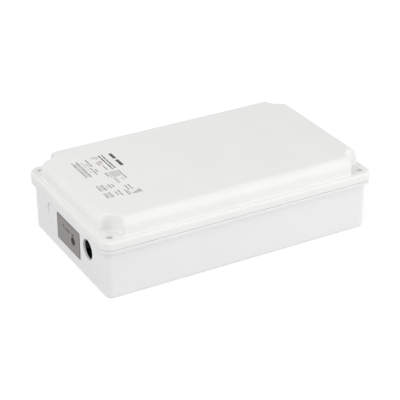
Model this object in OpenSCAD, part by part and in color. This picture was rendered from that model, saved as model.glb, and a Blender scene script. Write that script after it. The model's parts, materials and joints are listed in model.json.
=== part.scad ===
// Emergency LED driver in a sealed two-part wall box, in millimetres.
// X runs along the box with the cable end at -X, the front long side is -Y, Z is up,
// and the origin is the middle of the underside.

/* [Housing] */
// Overall length, over the rim
case_length = 220; // [205:1:260]
// Overall width, over the rim
case_width = 130; // [118:1:160]
// Corner radius of the rim, seen from above
rim_corner_r = 8.5; // [7:0.5:12]
// How far the rim stands out past the base wall
rim_overhang = 3.2; // [2.6:0.1:4]
// Height of the joint between base and lid
joint_z = 39.2; // [37:0.2:60]
// Height of the lip round the mouth of the base
lip_h = 2.6; // [2:0.1:5]
// Wall thickness of both mouldings
wall = 2.5; // [2:0.1:3]
// Thickness of the base floor
floor_t = 2.5; // [2:0.1:4]
// Rounding along the lower edge of the base
base_edge_r = 1.5; // [0.5:0.1:2.4]

/* [Lid] */
// Height of the lid rim above the joint
rim_h = 6.8; // [5.5:0.1:9]
// Rounding along the upper edge of the rim
rim_edge_r = 2; // [0.5:0.1:2.5]
// Width of the shelf between the rim's edge and the foot of the plateau
shelf_w = 3.5; // [2.5:0.1:5]
// Height of the plateau above the shelf
plateau_h = 13; // [9:0.5:20]
// Lean of the plateau's side walls, in degrees
plateau_lean = 1; // [0:0.5:15]
// Rounding along the upper edge of the plateau
plateau_edge_r = 7; // [3.5:0.5:8]
// Radius of the notch round each lid screw, at the shelf
notch_r = 9.5; // [8:0.1:12]
// How much wider the notch is at the top of the plateau
notch_flare = 0.2; // [0:0.1:3]
// Height of the shadow gap outside the joint
shadow_gap = 0.3; // [0.2:0.1:0.8]
// Depth of the shadow gap
shadow_gap_depth = 1.2; // [0.5:0.1:1.8]

/* [Seal and lid screws] */
// Distance from the rim's edge to each screw axis, both ways
screw_inset = 8; // [7:0.1:10]
// Shank diameter of a lid screw
screw_d = 2.4; // [2:0.1:4]
// Head diameter of a lid screw
screw_head_d = 4.2; // [3.6:0.1:7]
// Head height of a lid screw
screw_head_h = 2; // [1.6:0.1:2.6]
// Length of a lid screw under its head
screw_length = 18; // [12:0.5:24]
// Depth of the recess that the head sits in
screw_recess_depth = 2.6; // [2.6:0.1:4.6]
// Width of the sealing cord
gasket_w = 2; // [1.4:0.1:2.4]
// Height of the sealing cord
gasket_h = 1.6; // [1:0.1:2.4]
// Distance from the rim's edge to the middle of the sealing cord
gasket_inset = 3.4; // [3:0.1:3.8]
// Distance from a screw axis to the sealing cord that passes inside it
gasket_screw_r = 6; // [5.5:0.1:7]

/* [Cable end] */
// Diameter of the cable entry
entry_d = 15.2; // [12:0.1:17]
// Distance of the cable entry and of the knock-out from the middle
entry_y = 30.4; // [28:0.1:40]
// Height of the cable entry and of the knock-out
entry_z = 24.2; // [18:0.1:26]
// Wall left round the cable entry and behind the knock-out
entry_wall = 1.9; // [0.8:0.1:2.2]
// How far the thinned wall reaches past the entry, all round
entry_relief = 1.6; // [0.5:0.1:2]
// Depth of the knock-out below the outer face
knockout_depth = 0.4; // [0.2:0.1:0.6]
// Width of the grey end label
label_w = 38; // [30:0.5:42]
// Height of the grey end label
label_h = 21; // [16:0.5:26]
// Thickness of the grey end label
label_t = 0.4; // [0.2:0.1:0.8]
// Place of the label's middle across the end
label_y = 1; // [-2:0.1:3]
// Height of the label's middle
label_z = 20; // [16:0.1:23]

/* [Test button] */
// Diameter of the button
button_d = 6; // [4.5:0.1:8]
// Place of the button across the end
button_y = -6.8; // [-9:0.1:0]
// Height of the button
button_z = 19.1; // [17:0.1:23]
// Travel of the button
button_travel = 1.2; // [0.5:0.1:2]
// Width of the collar that keeps the button in the wall
button_collar_d = 9; // [7:0.1:11]
// Side of the square switch body
switch_side = 10; // [8:0.5:12]
// Depth of the switch body
switch_depth = 5.2; // [4.2:0.1:7]
// Width of the small board that carries the switch
switch_board_w = 24; // [21:0.5:30]
// Height of the small board that carries the switch
switch_board_h = 14; // [12.5:0.5:16]

/* [Wall fixing] */
// Distance between the fixing holes along the box
fixing_pitch_x = 160; // [140:1:166]
// Distance between the fixing holes across the box
fixing_pitch_y = 106; // [104:0.5:108]
// Diameter of a fixing hole
fixing_d = 4.5; // [3.5:0.1:5.5]
// Height of the collar round a fixing hole, above the floor
fixing_collar_h = 2; // [1:0.5:5]

/* [Circuit board] */
// Length of the main board
board_length = 114; // [104:1:122]
// Width of the main board
board_width = 92; // [84:1:94]
// Thickness of the boards
board_t = 1.6; // [1:0.1:2.4]
// Height of the standoffs under the main board
standoff_h = 6; // [4:0.5:7.5]
// Gap between the cable end's inner wall and the main board
board_wall_gap = 7.3; // [5:0.1:10]
// Distance from the board's edges to its screws
board_hole_inset = 5; // [4:0.1:6]
// Shank diameter of the small screws inside
small_screw_d = 2.6; // [2:0.1:3]
// Height of the bulk capacitor
bulk_cap_h = 25; // [18:0.5:32]
// Diameter of the bulk capacitor
bulk_cap_d = 16; // [12:0.5:18]
// Height of the heatsink
heatsink_h = 26; // [22:0.5:34]
// Number of fins on the heatsink
heatsink_fins = 6; // [4:1:8]

/* [Battery] */
// Diameter of one cell
cell_d = 18.2; // [14:0.1:18.6]
// Length of one cell
cell_length = 65; // [50:0.5:67]
// Thickness of the sleeve round the cells
sleeve_t = 0.4; // [0.3:0.1:0.8]
// Gap between the far end wall and the battery
battery_wall_gap = 3.5; // [3.2:0.1:8]
// Width of the bracket across the battery
bracket_w = 14; // [10:0.5:16]
// Thickness of the bracket
bracket_t = 2; // [1.5:0.1:2.5]

/* [Hidden] */
$fn = 64;

// Clearance round pieces that are pushed or laid together
fit_gap = 0.1;
// Clearance round what moves
running_gap = 0.3;
// Overhang of a cutter past the face that it cuts
over = 1;

half_l = case_length / 2;
half_w = case_width / 2;
base_x = half_l - rim_overhang;
base_y = half_w - rim_overhang;
base_corner_r = rim_corner_r - rim_overhang;
inner_x = base_x - wall;
inner_y = base_y - wall;
inner_corner_r = base_corner_r - wall;
rim_top = joint_z + rim_h;
lid_top = rim_top + plateau_h;

screw_x = half_l - screw_inset;
screw_y = half_w - screw_inset;
screw_seat_z = rim_top - screw_recess_depth;
screw_pilot_d = screw_d + 2 * fit_gap;
screw_hole_d = screw_d + 2 * running_gap;
boss_wall = 3.2;
boss_cap_edge = 0.6;
boss_r = screw_d / 2 + boss_wall;
boss_cap_r = gasket_screw_r + gasket_w + boss_cap_edge;
boss_cap_h = 4;

label_corner_r = 0.8;
button_edge_r = 0.5;
collar_x = -inner_x + fit_gap;
collar_t = 1.2;
stem_r = 1.5;
stem_length = 4.8;
switch_clear = 1.6;
switch_face_x = collar_x + collar_t + button_travel + switch_clear;
switch_back_x = switch_face_x + switch_depth;
switch_socket_depth = collar_x + collar_t + stem_length + button_travel + running_gap - switch_face_x;
switch_post_r = 2.6;
switch_post_edge = 3.4;
switch_post_y = switch_board_w / 2 - switch_post_edge;

fixing_collar_wall = 2.4;
fixing_collar_r = fixing_d / 2 + fixing_collar_wall;
standoff_wall = 2;
standoff_r = small_screw_d / 2 + standoff_wall;
small_head_d = 2 * small_screw_d;
small_head_h = 1.8;
small_pilot_d = small_screw_d + 2 * fit_gap;
small_screw_length = 6;

board_x0 = -inner_x + board_wall_gap;
board_x1 = board_x0 + board_length;
board_z0 = floor_t + standoff_h;
board_top = board_z0 + board_t;
board_front = -board_width / 2;
board_back = board_width / 2;
board_mid_x = (board_x0 + board_x1) / 2;

terminal_poles = 3;
terminal_pitch = 7.5;
terminal_depth = 12;
terminal_h = 14;
terminal_edge = 9;
terminal_side = 4;
terminal_well_r = 2.2;
terminal_well_depth = 4;
terminal_well_x = terminal_depth * 0.6;
terminal_slope_x = terminal_depth * 0.35;
terminal_slope_z = terminal_h * 0.7;
terminal_entry_r = 1.9;
terminal_entry_z = terminal_h * 0.35;
terminal_entry_depth = terminal_depth * 0.75;
terminal_screw_h = 2;
terminal_slot_w = 0.6;
terminal_slot_depth = 0.8;

// Centre line of the mains filter, from the board's cable-end edge
filter_x = 36;

fuse_y = 8;
fuse_length = 20;
fuse_r = 2.6;
fuse_axis_h = 5;
fuse_cap_length = 5;
fuse_wall = 0.25;
fuse_clip_t = 0.5;
fuse_clip_w = 4;
fuse_clip_foot = 2.4;
fuse_clip_mouth_z = fuse_axis_h + fuse_r * 0.6;

choke_y = 38;
choke_r = 9;
choke_bore_r = 4.5;
choke_h = 8;
coil_t = 1.2;
coil_angle = 130;

film_y = 19;
film_half_x = 9;
film_half_y = 4;
film_h = 14;
film_corner_r = 0.8;
film_foot_x = 11;
film_foot_y = 4;
film_foot_h = 0.6;

bridge_y = 55;
bridge_half_x = 7.5;
bridge_half_y = 2;
bridge_h = 11;
bridge_chamfer = 2;
bridge_hole_r = 1.6;
bridge_hole_z = 7.5;

bulk_cap_x = 59;
bulk_cap_edge = 4;
can_score_depth = 0.3;

transformer_x = 64;
transformer_y = 42;
core_x = 26;
core_y = 7;
core_z = 20;
core_leg = 3.4;
core_middle_leg = 6;
core_lift = 1;
core_window_x = core_x - 2 * core_leg;
core_window_z = (core_z - 2 * core_leg - core_middle_leg) / 2;
core_mid_z = core_lift + core_z / 2;
bobbin_wall = 0.8;
bobbin_flange_t = 1;
bobbin_y = 18;
winding_inset = 1;
winding_corner_r = 1.5;

heatsink_edge = 18;
heatsink_plate_t = 3;
heatsink_half_y = 18;
heatsink_fin_t = 1.4;
heatsink_fin_length = 12;
heatsink_screw_gap = 1.4;
transistor_w = 10;
transistor_body_t = 4.4;
transistor_body_h = 9;
transistor_tab_t = 1.3;
transistor_tab_h = 15.5;
transistor_z = 6.5;
transistor_hole_z = 19;
transistor_leg_pitch = 2.5;
transistor_leg_w = 0.8;
transistor_leg_t = 0.6;

output_cap_places = [[9, 16], [21, 10]];
output_cap_d = 10;
output_cap_h = 20;

inductor_x = 62;
inductor_y = 14;
inductor_r = 6.5;
inductor_h = 11;
inductor_waist_r = 5.2;
inductor_flange_t = 2;

chip_x = 36;
chip_y = 14;
chip_length = 10;
chip_w = 3.9;
chip_t = 1.4;
chip_lift = 0.2;
chip_pins = 8;
chip_pin_pitch = 1.27;
chip_pin_w = 0.4;
chip_pin_length = 1.4;
chip_pin_out = 2.3;
chip_pin_h = 0.9;

socket_place = 34;
socket_x = 8;
socket_y = 12;
socket_z = 8;
socket_wall = 1.2;
socket_back_t = 2.2;
plug_in = 5;
plug_out = 4;
plug_groove = 1.2;
plug_groove_x = 1;
lead_d = 1.8;
lead_pitch = 3.8;
signal_lead_d = 1.2;

cell_count = 3;
cell_gap = 0.3;
cell_pitch = cell_d + cell_gap;
cell_edge_r = 1;
cell_crimp_r = 1.2;
cell_crimp_out = 0.6;
cell_crimp_y = 5;
sleeve_gap = 0.15;
tab_t = 0.3;
tab_w = 7;
tab_length = 10;
sleeve_lip = 4;
sleeve_r = cell_d / 2 + sleeve_gap + sleeve_t;
pack_half_x = (cell_count - 1) * cell_pitch / 2 + sleeve_r;
pack_half_y = cell_length / 2 + tab_t + fit_gap + sleeve_t;
pack_x = inner_x - battery_wall_gap - pack_half_x;
pack_z = floor_t + sleeve_r;
pack_top = floor_t + 2 * sleeve_r;
cradle_t = 2;
cradle_h = 5;
cradle_length = cell_length * 0.6;
bracket_gap = 0.5;
bracket_inner_y = pack_half_y + bracket_gap;
bracket_foot = 11;
bracket_screw_out = 5;
bracket_screw_y = bracket_inner_y + bracket_t + bracket_screw_out;
bracket_boss_h = 6;
bracket_foot_z = floor_t + bracket_boss_h;

// Routes of the battery leads and the switch leads
lead_sides = 8;
lead_start_x = board_x1 + plug_out + fit_gap;
lead_start_z = board_top + socket_z / 2;
lead_mid_y = board_front + socket_place;
lead_straight = 7;
lead_slack = 5;
lead_end = 3;
pack_edge_x = pack_x - pack_half_x;
tab_face_y = cell_length / 2 + tab_t + fit_gap;
lead_clear = 3.5;
lead_clear_y = bracket_inner_y + bracket_t + lead_clear;
lead_over = 4;
lead_over_z = bracket_foot_z + bracket_t + small_head_h + lead_over;
signal_lead_y = 1.5;
signal_lead_edge = 2.5;
signal_lead_reach = 5;

// Copies of the children at the four corners of a rectangle
module at_corners(x, y) {
    for (sx = [-1, 1], sy = [-1, 1])
        translate([sx * x, sy * y, 0])
            children();
}

// A flat section drawn in Y and Z, drawn out along X about the origin
module along_x(length) {
    rotate([90, 0, 90])
        linear_extrude(length, center = true)
            children();
}

// A flat section drawn in X and Z, drawn out along Y about the origin
module along_y(length) {
    rotate([90, 0, 0])
        linear_extrude(length, center = true)
            children();
}

// A round bar that starts at a point and runs towards +X
module bar_x(start, r, length) {
    translate(start)
        rotate([0, 90, 0])
            cylinder(r = r, h = length);
}

// A block between two X values, centred on Y, standing on z = 0
module block(x0, x1, width, height) {
    translate([x0, -width / 2, 0])
        cube([x1 - x0, width, height]);
}

module rounded_rect(half_x, half_y, r) {
    square([2 * (half_x - r), 2 * half_y], center = true);
    square([2 * half_x, 2 * (half_y - r)], center = true);
    for (sx = [-1, 1], sy = [-1, 1])
        translate([sx * (half_x - r), sy * (half_y - r)])
            circle(r);
}

// Half of a section with one rounded upper corner, for turning
module soft_half_section(half, height, edge) {
    square([half - edge, height]);
    square([half, height - edge]);
    translate([half - edge, height - edge])
        circle(edge);
}

// A whole section with two rounded upper corners
module soft_section(half, height, edge) {
    translate([edge - half, 0])
        square([2 * (half - edge), height]);
    translate([-half, 0])
        square([2 * half, height - edge]);
    for (side = [-1, 1])
        translate([side * (half - edge), height - edge])
            circle(edge);
}

// A round-cornered block whose upper edge is rounded all the way round
module soft_block(half_x, half_y, corner_r, height, edge) {
    at_corners(half_x - corner_r, half_y - corner_r)
        rotate_extrude()
            soft_half_section(corner_r, height, edge);
    along_x(2 * (half_x - corner_r))
        soft_section(half_y, height, edge);
    along_y(2 * (half_y - corner_r))
        soft_section(half_x, height, edge);
}

// Half-widths of the plateau: at its foot one skin inside, and of its flat top
function plateau_foot(half, skin) = half - shelf_w - skin / cos(plateau_lean);
function plateau_flat(half) =
    half - shelf_w - (plateau_edge_r + (plateau_h - plateau_edge_r) * sin(plateau_lean)) / cos(plateau_lean);

// Points along the rounding one skin inside the plateau, from the leaning side to the flat top
function rounding_points(half, skin, steps) = [
    for (i = [0 : steps])
        let (a = plateau_lean + (90 - plateau_lean) * i / steps)
        [plateau_flat(half), plateau_h - plateau_edge_r] + (plateau_edge_r - skin) * [cos(a), sin(a)]
];

function mirrored(points) = [for (i = [len(points) - 1 : -1 : 0]) [-points[i].x, points[i].y]];

// Section of the plateau above the shelf, sunk into the rim below it.
// The leaning side and the flat top are both tangent to the rounding.
module plateau_section(half) {
    foot = plateau_foot(half, 0);
    side = concat([[foot, -rim_h / 2], [foot, 0]], rounding_points(half, 0, 1));
    polygon(concat(side, mirrored(side)));
    for (turn = [0, 1])
        mirror([turn, 0])
            translate([plateau_flat(half), plateau_h - plateau_edge_r])
                circle(plateau_edge_r);
}

// Section of the hollow one wall inside the plateau, open downwards
module hollow_section(half) {
    foot = plateau_foot(half, wall);
    side = concat([[foot, -rim_h - over], [foot, 0]], rounding_points(half, wall, 6));
    polygon(concat(side, mirrored(side)));
}

// The raised plateau, with a concave corner round each screw
module plateau() {
    difference() {
        intersection() {
            along_x(case_length)
                plateau_section(half_w);
            along_y(case_width)
                plateau_section(half_l);
        }
        at_corners(screw_x, screw_y)
            cylinder(h = plateau_h + over, r1 = notch_r, r2 = notch_r + notch_flare);
    }
}

module lid_hollow() {
    r = notch_r + wall;
    depth = rim_h + 2 * over;
    difference() {
        intersection() {
            along_x(case_length)
                hollow_section(half_w);
            along_y(case_width)
                hollow_section(half_l);
        }
        at_corners(screw_x, screw_y) {
            cylinder(h = plateau_h + over, r1 = r, r2 = r + notch_flare);
            translate([0, 0, -depth])
                cylinder(h = depth, r = r);
        }
    }
}

// Area inside one edge of the sealing cord: it runs along the walls and inside the screws
module gasket_area(inset, screw_r) {
    difference() {
        square([2 * (half_l - inset), 2 * (half_w - inset)], center = true);
        for (sx = [-1, 1], sy = [-1, 1])
            translate([sx * screw_x, sy * screw_y])
                circle(screw_r);
        for (turn_x = [0, 1], turn_y = [0, 1])
            mirror([turn_x, 0])
                mirror([0, turn_y])
                    translate([screw_x, screw_y])
                        square(2 * screw_inset);
    }
}

module gasket_ring(spare) {
    difference() {
        gasket_area(gasket_inset - gasket_w / 2 - spare, gasket_screw_r - spare);
        gasket_area(gasket_inset + gasket_w / 2 + spare, gasket_screw_r + gasket_w + spare);
    }
}

// A pan-head screw, head upwards, with its seat at z = 0
module pan_screw(d, length, head_d, head_h) {
    slot_w = head_d * 0.16;
    slot_length = head_d * 0.6;
    slot_depth = head_h * 0.45;
    edge = head_h * 0.4;
    difference() {
        union() {
            rotate_extrude()
                soft_half_section(head_d / 2, head_h, edge);
            translate([0, 0, -length])
                cylinder(d = d, h = length);
        }
        for (turn = [0, 90])
            rotate(turn)
                translate([-slot_length / 2, -slot_w / 2, head_h - slot_depth])
                    cube([slot_length, slot_w, slot_depth + over]);
    }
}

module small_screw() {
    pan_screw(small_screw_d, small_screw_length, small_head_d, small_head_h);
}

module at_lid_screws() {
    at_corners(screw_x, screw_y)
        children();
}

module at_board_screws() {
    translate([board_mid_x, 0, 0])
        at_corners(board_length / 2 - board_hole_inset, board_width / 2 - board_hole_inset)
            children();
}

module at_bracket_screws() {
    for (side = [-1, 1])
        translate([pack_x, side * bracket_screw_y, 0])
            children();
}

module at_switch_posts() {
    for (side = [-1, 1])
        translate([0, button_y + side * switch_post_y, button_z])
            children();
}

// A place on the main board, from its cable-end edge and its front edge
module from_front(x, y) {
    translate([board_x0 + x, board_front + y, board_top])
        children();
}

// A place on the main board, from its cable-end edge and its back edge
module from_back(x, y) {
    translate([board_x0 + x, board_back - y, board_top])
        children();
}

// A place on the main board, from its battery-end edge and its front edge
module from_far_front(x, y) {
    translate([board_x1 - x, board_front + y, board_top])
        children();
}

// Columns in the corners that take the lid screws, each with a cap under the sealing cord
module screw_bosses() {
    at_lid_screws() {
        cylinder(r = boss_r, h = joint_z + over);
        translate([0, 0, joint_z - boss_cap_h])
            cylinder(r = boss_cap_r, h = boss_cap_h + over);
    }
}

module base_shell() {
    difference() {
        union() {
            translate([0, 0, joint_z])
                mirror([0, 0, 1])
                    soft_block(base_x, base_y, base_corner_r, joint_z, base_edge_r);
            translate([0, 0, joint_z - lip_h])
                linear_extrude(lip_h)
                    rounded_rect(half_l, half_w, rim_corner_r);
        }
        difference() {
            translate([0, 0, floor_t])
                linear_extrude(joint_z)
                    rounded_rect(inner_x, inner_y, inner_corner_r);
            screw_bosses();
        }
    }
}

module base() {
    color("whitesmoke")
        difference() {
            union() {
                base_shell();
                at_board_screws()
                    cylinder(r = standoff_r, h = board_z0);
                at_bracket_screws()
                    cylinder(r = standoff_r, h = bracket_foot_z);
                at_corners(fixing_pitch_x / 2, fixing_pitch_y / 2)
                    cylinder(r = fixing_collar_r, h = floor_t + fixing_collar_h);
                at_switch_posts()
                    bar_x([-base_x + wall / 2, 0, 0], switch_post_r, base_x - wall / 2 + switch_back_x);
                for (side = [-1, 1])
                    translate([pack_x + side * (pack_half_x + running_gap + cradle_t / 2), 0, 0])
                        block(-cradle_t / 2, cradle_t / 2, cradle_length, floor_t + cradle_h);
            }
            for (side = [-1, 1])
                bar_x([-base_x + entry_wall, side * entry_y, entry_z], entry_d / 2 + entry_relief, wall);
            bar_x([-base_x - over, -entry_y, entry_z], entry_d / 2, wall + 2 * over);
            bar_x([-base_x - over, entry_y, entry_z], entry_d / 2, over + knockout_depth);
            bar_x([-base_x - over, button_y, button_z], button_d / 2 + running_gap, wall + 2 * over);
            at_switch_posts()
                bar_x([switch_back_x - small_screw_length, 0, 0], small_pilot_d / 2,
                    small_screw_length + over);
            at_corners(fixing_pitch_x / 2, fixing_pitch_y / 2)
                translate([0, 0, -over])
                    cylinder(d = fixing_d, h = floor_t + fixing_collar_h + 2 * over);
            at_board_screws()
                translate([0, 0, floor_t])
                    cylinder(d = small_pilot_d, h = standoff_h + over);
            at_bracket_screws()
                translate([0, 0, floor_t])
                    cylinder(d = small_pilot_d, h = bracket_boss_h + over);
            at_lid_screws()
                translate([0, 0, screw_seat_z - screw_length - over])
                    cylinder(d = screw_pilot_d, h = screw_length + over);
        }
}

module lid() {
    color("white")
        difference() {
            union() {
                translate([0, 0, joint_z])
                    soft_block(half_l, half_w, rim_corner_r, rim_h, rim_edge_r);
                translate([0, 0, rim_top])
                    plateau();
            }
            translate([0, 0, rim_top])
                lid_hollow();
            translate([0, 0, joint_z - over])
                linear_extrude(gasket_h + over)
                    gasket_ring(fit_gap);
            translate([0, 0, joint_z - over])
                linear_extrude(shadow_gap + over)
                    difference() {
                        rounded_rect(half_l + over, half_w + over, rim_corner_r + over);
                        rounded_rect(half_l - shadow_gap_depth, half_w - shadow_gap_depth,
                            rim_corner_r - shadow_gap_depth);
                    }
            at_lid_screws() {
                translate([0, 0, joint_z - over])
                    cylinder(d = screw_hole_d, h = rim_h + 2 * over);
                translate([0, 0, screw_seat_z])
                    cylinder(d = screw_head_d + 2 * running_gap, h = screw_recess_depth + over);
            }
        }
}

module lid_gasket() {
    color("dimgray")
        translate([0, 0, joint_z])
            linear_extrude(gasket_h)
                gasket_ring(0);
}

module lid_screws() {
    color("silver")
        at_lid_screws()
            translate([0, 0, screw_seat_z])
                pan_screw(screw_d, screw_length, screw_head_d, screw_head_h);
}

module end_label() {
    color("gray")
        difference() {
            translate([-base_x - label_t / 2, label_y, label_z])
                along_x(label_t)
                    rounded_rect(label_w / 2, label_h / 2, label_corner_r);
            bar_x([-base_x - label_t - over, button_y, button_z], button_d / 2 + running_gap,
                label_t + 2 * over);
        }
}

// The cap lies flush with the label, and its collar bears on the wall from inside
module test_button() {
    cap_length = collar_x + base_x + label_t;
    color("dimgray")
        translate([collar_x, button_y, button_z]) {
            rotate([0, -90, 0])
                rotate_extrude()
                    soft_half_section(button_d / 2, cap_length, button_edge_r);
            bar_x([0, 0, 0], button_collar_d / 2, collar_t);
            bar_x([0, 0, 0], stem_r, collar_t + stem_length);
        }
}

module test_switch() {
    color("black")
        translate([0, button_y, button_z])
            difference() {
                translate([switch_face_x + switch_depth / 2, 0, 0])
                    cube([switch_depth, switch_side, switch_side], center = true);
                bar_x([switch_face_x - over, 0, 0], stem_r + running_gap, switch_socket_depth + over);
            }
}

module switch_board() {
    color("darkgreen")
        difference() {
            translate([switch_back_x + board_t / 2, button_y, button_z])
                cube([board_t, switch_board_w, switch_board_h], center = true);
            at_switch_posts()
                bar_x([switch_back_x - over, 0, 0], small_pilot_d / 2, board_t + 2 * over);
        }
}

module switch_board_screws() {
    color("silver")
        at_switch_posts()
            translate([switch_back_x + board_t, 0, 0])
                rotate([0, 90, 0])
                    small_screw();
}

module circuit_board() {
    color("darkgreen")
        difference() {
            translate([board_x0, board_front, board_z0])
                cube([board_length, board_width, board_t]);
            at_board_screws()
                translate([0, 0, board_z0 - over])
                    cylinder(d = small_pilot_d, h = board_t + 2 * over);
        }
}

module board_screws() {
    color("silver")
        at_board_screws()
            translate([0, 0, board_top])
                small_screw();
}

module at_terminal_poles() {
    for (pole = [0 : terminal_poles - 1])
        translate([0, (pole - (terminal_poles - 1) / 2) * terminal_pitch, 0])
            children();
}

// A row of clamps: wires enter from the cable end, screws are reached from above
module terminal_block() {
    width = terminal_poles * terminal_pitch;
    color("seagreen")
        difference() {
            along_y(width)
                polygon([
                    [0, 0], [terminal_depth, 0], [terminal_depth, terminal_h],
                    [terminal_slope_x, terminal_h], [0, terminal_slope_z]
                ]);
            at_terminal_poles() {
                bar_x([-over, 0, terminal_entry_z], terminal_entry_r, terminal_entry_depth + over);
                translate([terminal_well_x, 0, terminal_h - terminal_well_depth])
                    cylinder(r = terminal_well_r, h = terminal_well_depth + over);
            }
        }
}

module terminal_block_screws() {
    screw_r = terminal_well_r - running_gap;
    translate([terminal_well_x, 0, terminal_h - terminal_well_depth])
        at_terminal_poles()
            difference() {
                cylinder(r = screw_r, h = terminal_screw_h);
                translate([-terminal_well_r, -terminal_slot_w / 2, terminal_screw_h - terminal_slot_depth])
                    cube([2 * terminal_well_r, terminal_slot_w, terminal_slot_depth + over]);
            }
}

module at_mains_terminal() {
    from_front(terminal_edge, terminal_side + terminal_poles * terminal_pitch / 2)
        children();
}

module at_lamp_terminal() {
    from_back(terminal_edge, terminal_side + terminal_poles * terminal_pitch / 2)
        children();
}

module mains_terminal() {
    at_mains_terminal()
        terminal_block();
}

module lamp_terminal() {
    at_lamp_terminal()
        terminal_block();
}

module terminal_screws() {
    color("silver") {
        at_mains_terminal()
            terminal_block_screws();
        at_lamp_terminal()
            terminal_block_screws();
    }
}

module at_fuse() {
    from_front(filter_x, fuse_y)
        children();
}

module fuse_tube() {
    length = fuse_length - 2 * (fuse_wall + fit_gap);
    color("lightcyan")
        at_fuse()
            bar_x([-length / 2, 0, fuse_axis_h], fuse_r - fuse_wall - fit_gap, length);
}

module fuse_caps() {
    color("silver")
        at_fuse()
            for (turn = [0, 180])
                rotate(turn)
                    difference() {
                        bar_x([fuse_length / 2 - fuse_cap_length, 0, fuse_axis_h], fuse_r, fuse_cap_length);
                        bar_x([fuse_length / 2 - fuse_cap_length - over, 0, fuse_axis_h], fuse_r - fuse_wall,
                            fuse_cap_length + over - fuse_wall);
                    }
}

// Spring clips that hold the fuse by its caps, open at the top
module fuse_clips() {
    ring_r = fuse_r + fit_gap;
    color("silver")
        at_fuse()
            for (side = [-1, 1])
                translate([side * (fuse_length - fuse_cap_length) / 2, 0, 0])
                    along_x(fuse_clip_w)
                        difference() {
                            union() {
                                translate([0, fuse_axis_h])
                                    circle(ring_r + fuse_clip_t);
                                translate([-fuse_clip_foot / 2, 0])
                                    square([fuse_clip_foot, fuse_axis_h]);
                            }
                            translate([0, fuse_axis_h])
                                circle(ring_r);
                            translate([-fuse_r, fuse_clip_mouth_z])
                                square(2 * fuse_r);
                        }
}

module at_choke() {
    from_front(filter_x, choke_y)
        children();
}

module choke_core() {
    color("darkolivegreen")
        at_choke()
            translate([0, 0, coil_t + fit_gap])
                difference() {
                    cylinder(r = choke_r, h = choke_h);
                    translate([0, 0, -over])
                        cylinder(r = choke_bore_r, h = choke_h + 2 * over);
                }
}

// Two windings on opposite sides of the ring, each wrapped round its section
module choke_coils() {
    gap = fit_gap;
    color("chocolate")
        at_choke()
            for (turn = [0, 180])
                rotate(turn - coil_angle / 2)
                    rotate_extrude(angle = coil_angle)
                        difference() {
                            translate([choke_bore_r - gap - coil_t, 0])
                                square([choke_r - choke_bore_r + 2 * (gap + coil_t),
                                    choke_h + 2 * (gap + coil_t)]);
                            translate([choke_bore_r - gap, coil_t])
                                square([choke_r - choke_bore_r + 2 * gap, choke_h + 2 * gap]);
                        }
}

module film_capacitor() {
    color("gold")
        from_front(filter_x, film_y)
            difference() {
                linear_extrude(film_h)
                    rounded_rect(film_half_x, film_half_y, film_corner_r);
                translate([0, 0, -over])
                    linear_extrude(over + film_foot_h)
                        square([film_foot_x, film_foot_y], center = true);
            }
}

module bridge_rectifier() {
    color("black")
        from_front(filter_x, bridge_y)
            difference() {
                linear_extrude(bridge_h)
                    polygon([
                        [-bridge_half_x, -bridge_half_y], [bridge_half_x, -bridge_half_y],
                        [bridge_half_x, bridge_half_y], [bridge_chamfer - bridge_half_x, bridge_half_y],
                        [-bridge_half_x, bridge_half_y - bridge_chamfer]
                    ]);
                translate([0, -over - bridge_half_y, bridge_hole_z])
                    rotate([-90, 0, 0])
                        cylinder(r = bridge_hole_r, h = 2 * (bridge_half_y + over));
            }
}

// A can with a crimped neck above its rubber foot and a scored top
module capacitor_can(d, height) {
    r = d / 2;
    edge = r * 0.12;
    neck_r = r * 0.14;
    neck_x = r * 1.06;
    neck_z = height * 0.12;
    score_length = r * 1.2;
    score_w = r * 0.06;
    difference() {
        rotate_extrude()
            difference() {
                soft_half_section(r, height, edge);
                translate([neck_x, neck_z])
                    circle(neck_r);
            }
        for (turn = [0, 90])
            rotate(turn)
                translate([-score_length / 2, -score_w / 2, height - can_score_depth])
                    cube([score_length, score_w, can_score_depth + over]);
    }
}

module bulk_capacitor() {
    color("darkslategray")
        from_front(bulk_cap_x, bulk_cap_d / 2 + bulk_cap_edge)
            capacitor_can(bulk_cap_d, bulk_cap_h);
}

module at_transformer() {
    from_front(transformer_x, transformer_y)
        children();
}

module transformer_core() {
    color("dimgray")
        at_transformer()
            translate([0, 0, core_mid_z])
                along_y(core_y)
                    difference() {
                        square([core_x, core_z], center = true);
                        for (side = [-1, 1])
                            translate([0, side * (core_middle_leg + core_window_z) / 2])
                                square([core_window_x, core_window_z], center = true);
                    }
}

// A spool on the middle leg, whose two cheeks straddle the lower leg and stand on the board
module transformer_bobbin() {
    tube_y = core_y + 2 * fit_gap;
    tube_z = core_middle_leg + 2 * fit_gap;
    cheek_top = core_mid_z + core_middle_leg / 2 + core_window_z - fit_gap;
    color("saddlebrown")
        at_transformer()
            difference() {
                union() {
                    for (side = [-1, 1])
                        translate([side * (core_window_x / 2 - fit_gap - bobbin_flange_t / 2), 0, 0])
                            block(-bobbin_flange_t / 2, bobbin_flange_t / 2, bobbin_y, cheek_top);
                    translate([0, 0, core_mid_z])
                        cube([core_window_x - 2 * fit_gap, tube_y + 2 * bobbin_wall,
                            tube_z + 2 * bobbin_wall], center = true);
                }
                translate([0, 0, core_mid_z])
                    cube([core_window_x + over, tube_y, tube_z], center = true);
                translate([0, 0, -over])
                    block(-core_window_x, core_window_x, core_y + 2 * fit_gap,
                        core_lift + core_leg + fit_gap + over);
            }
}

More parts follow.
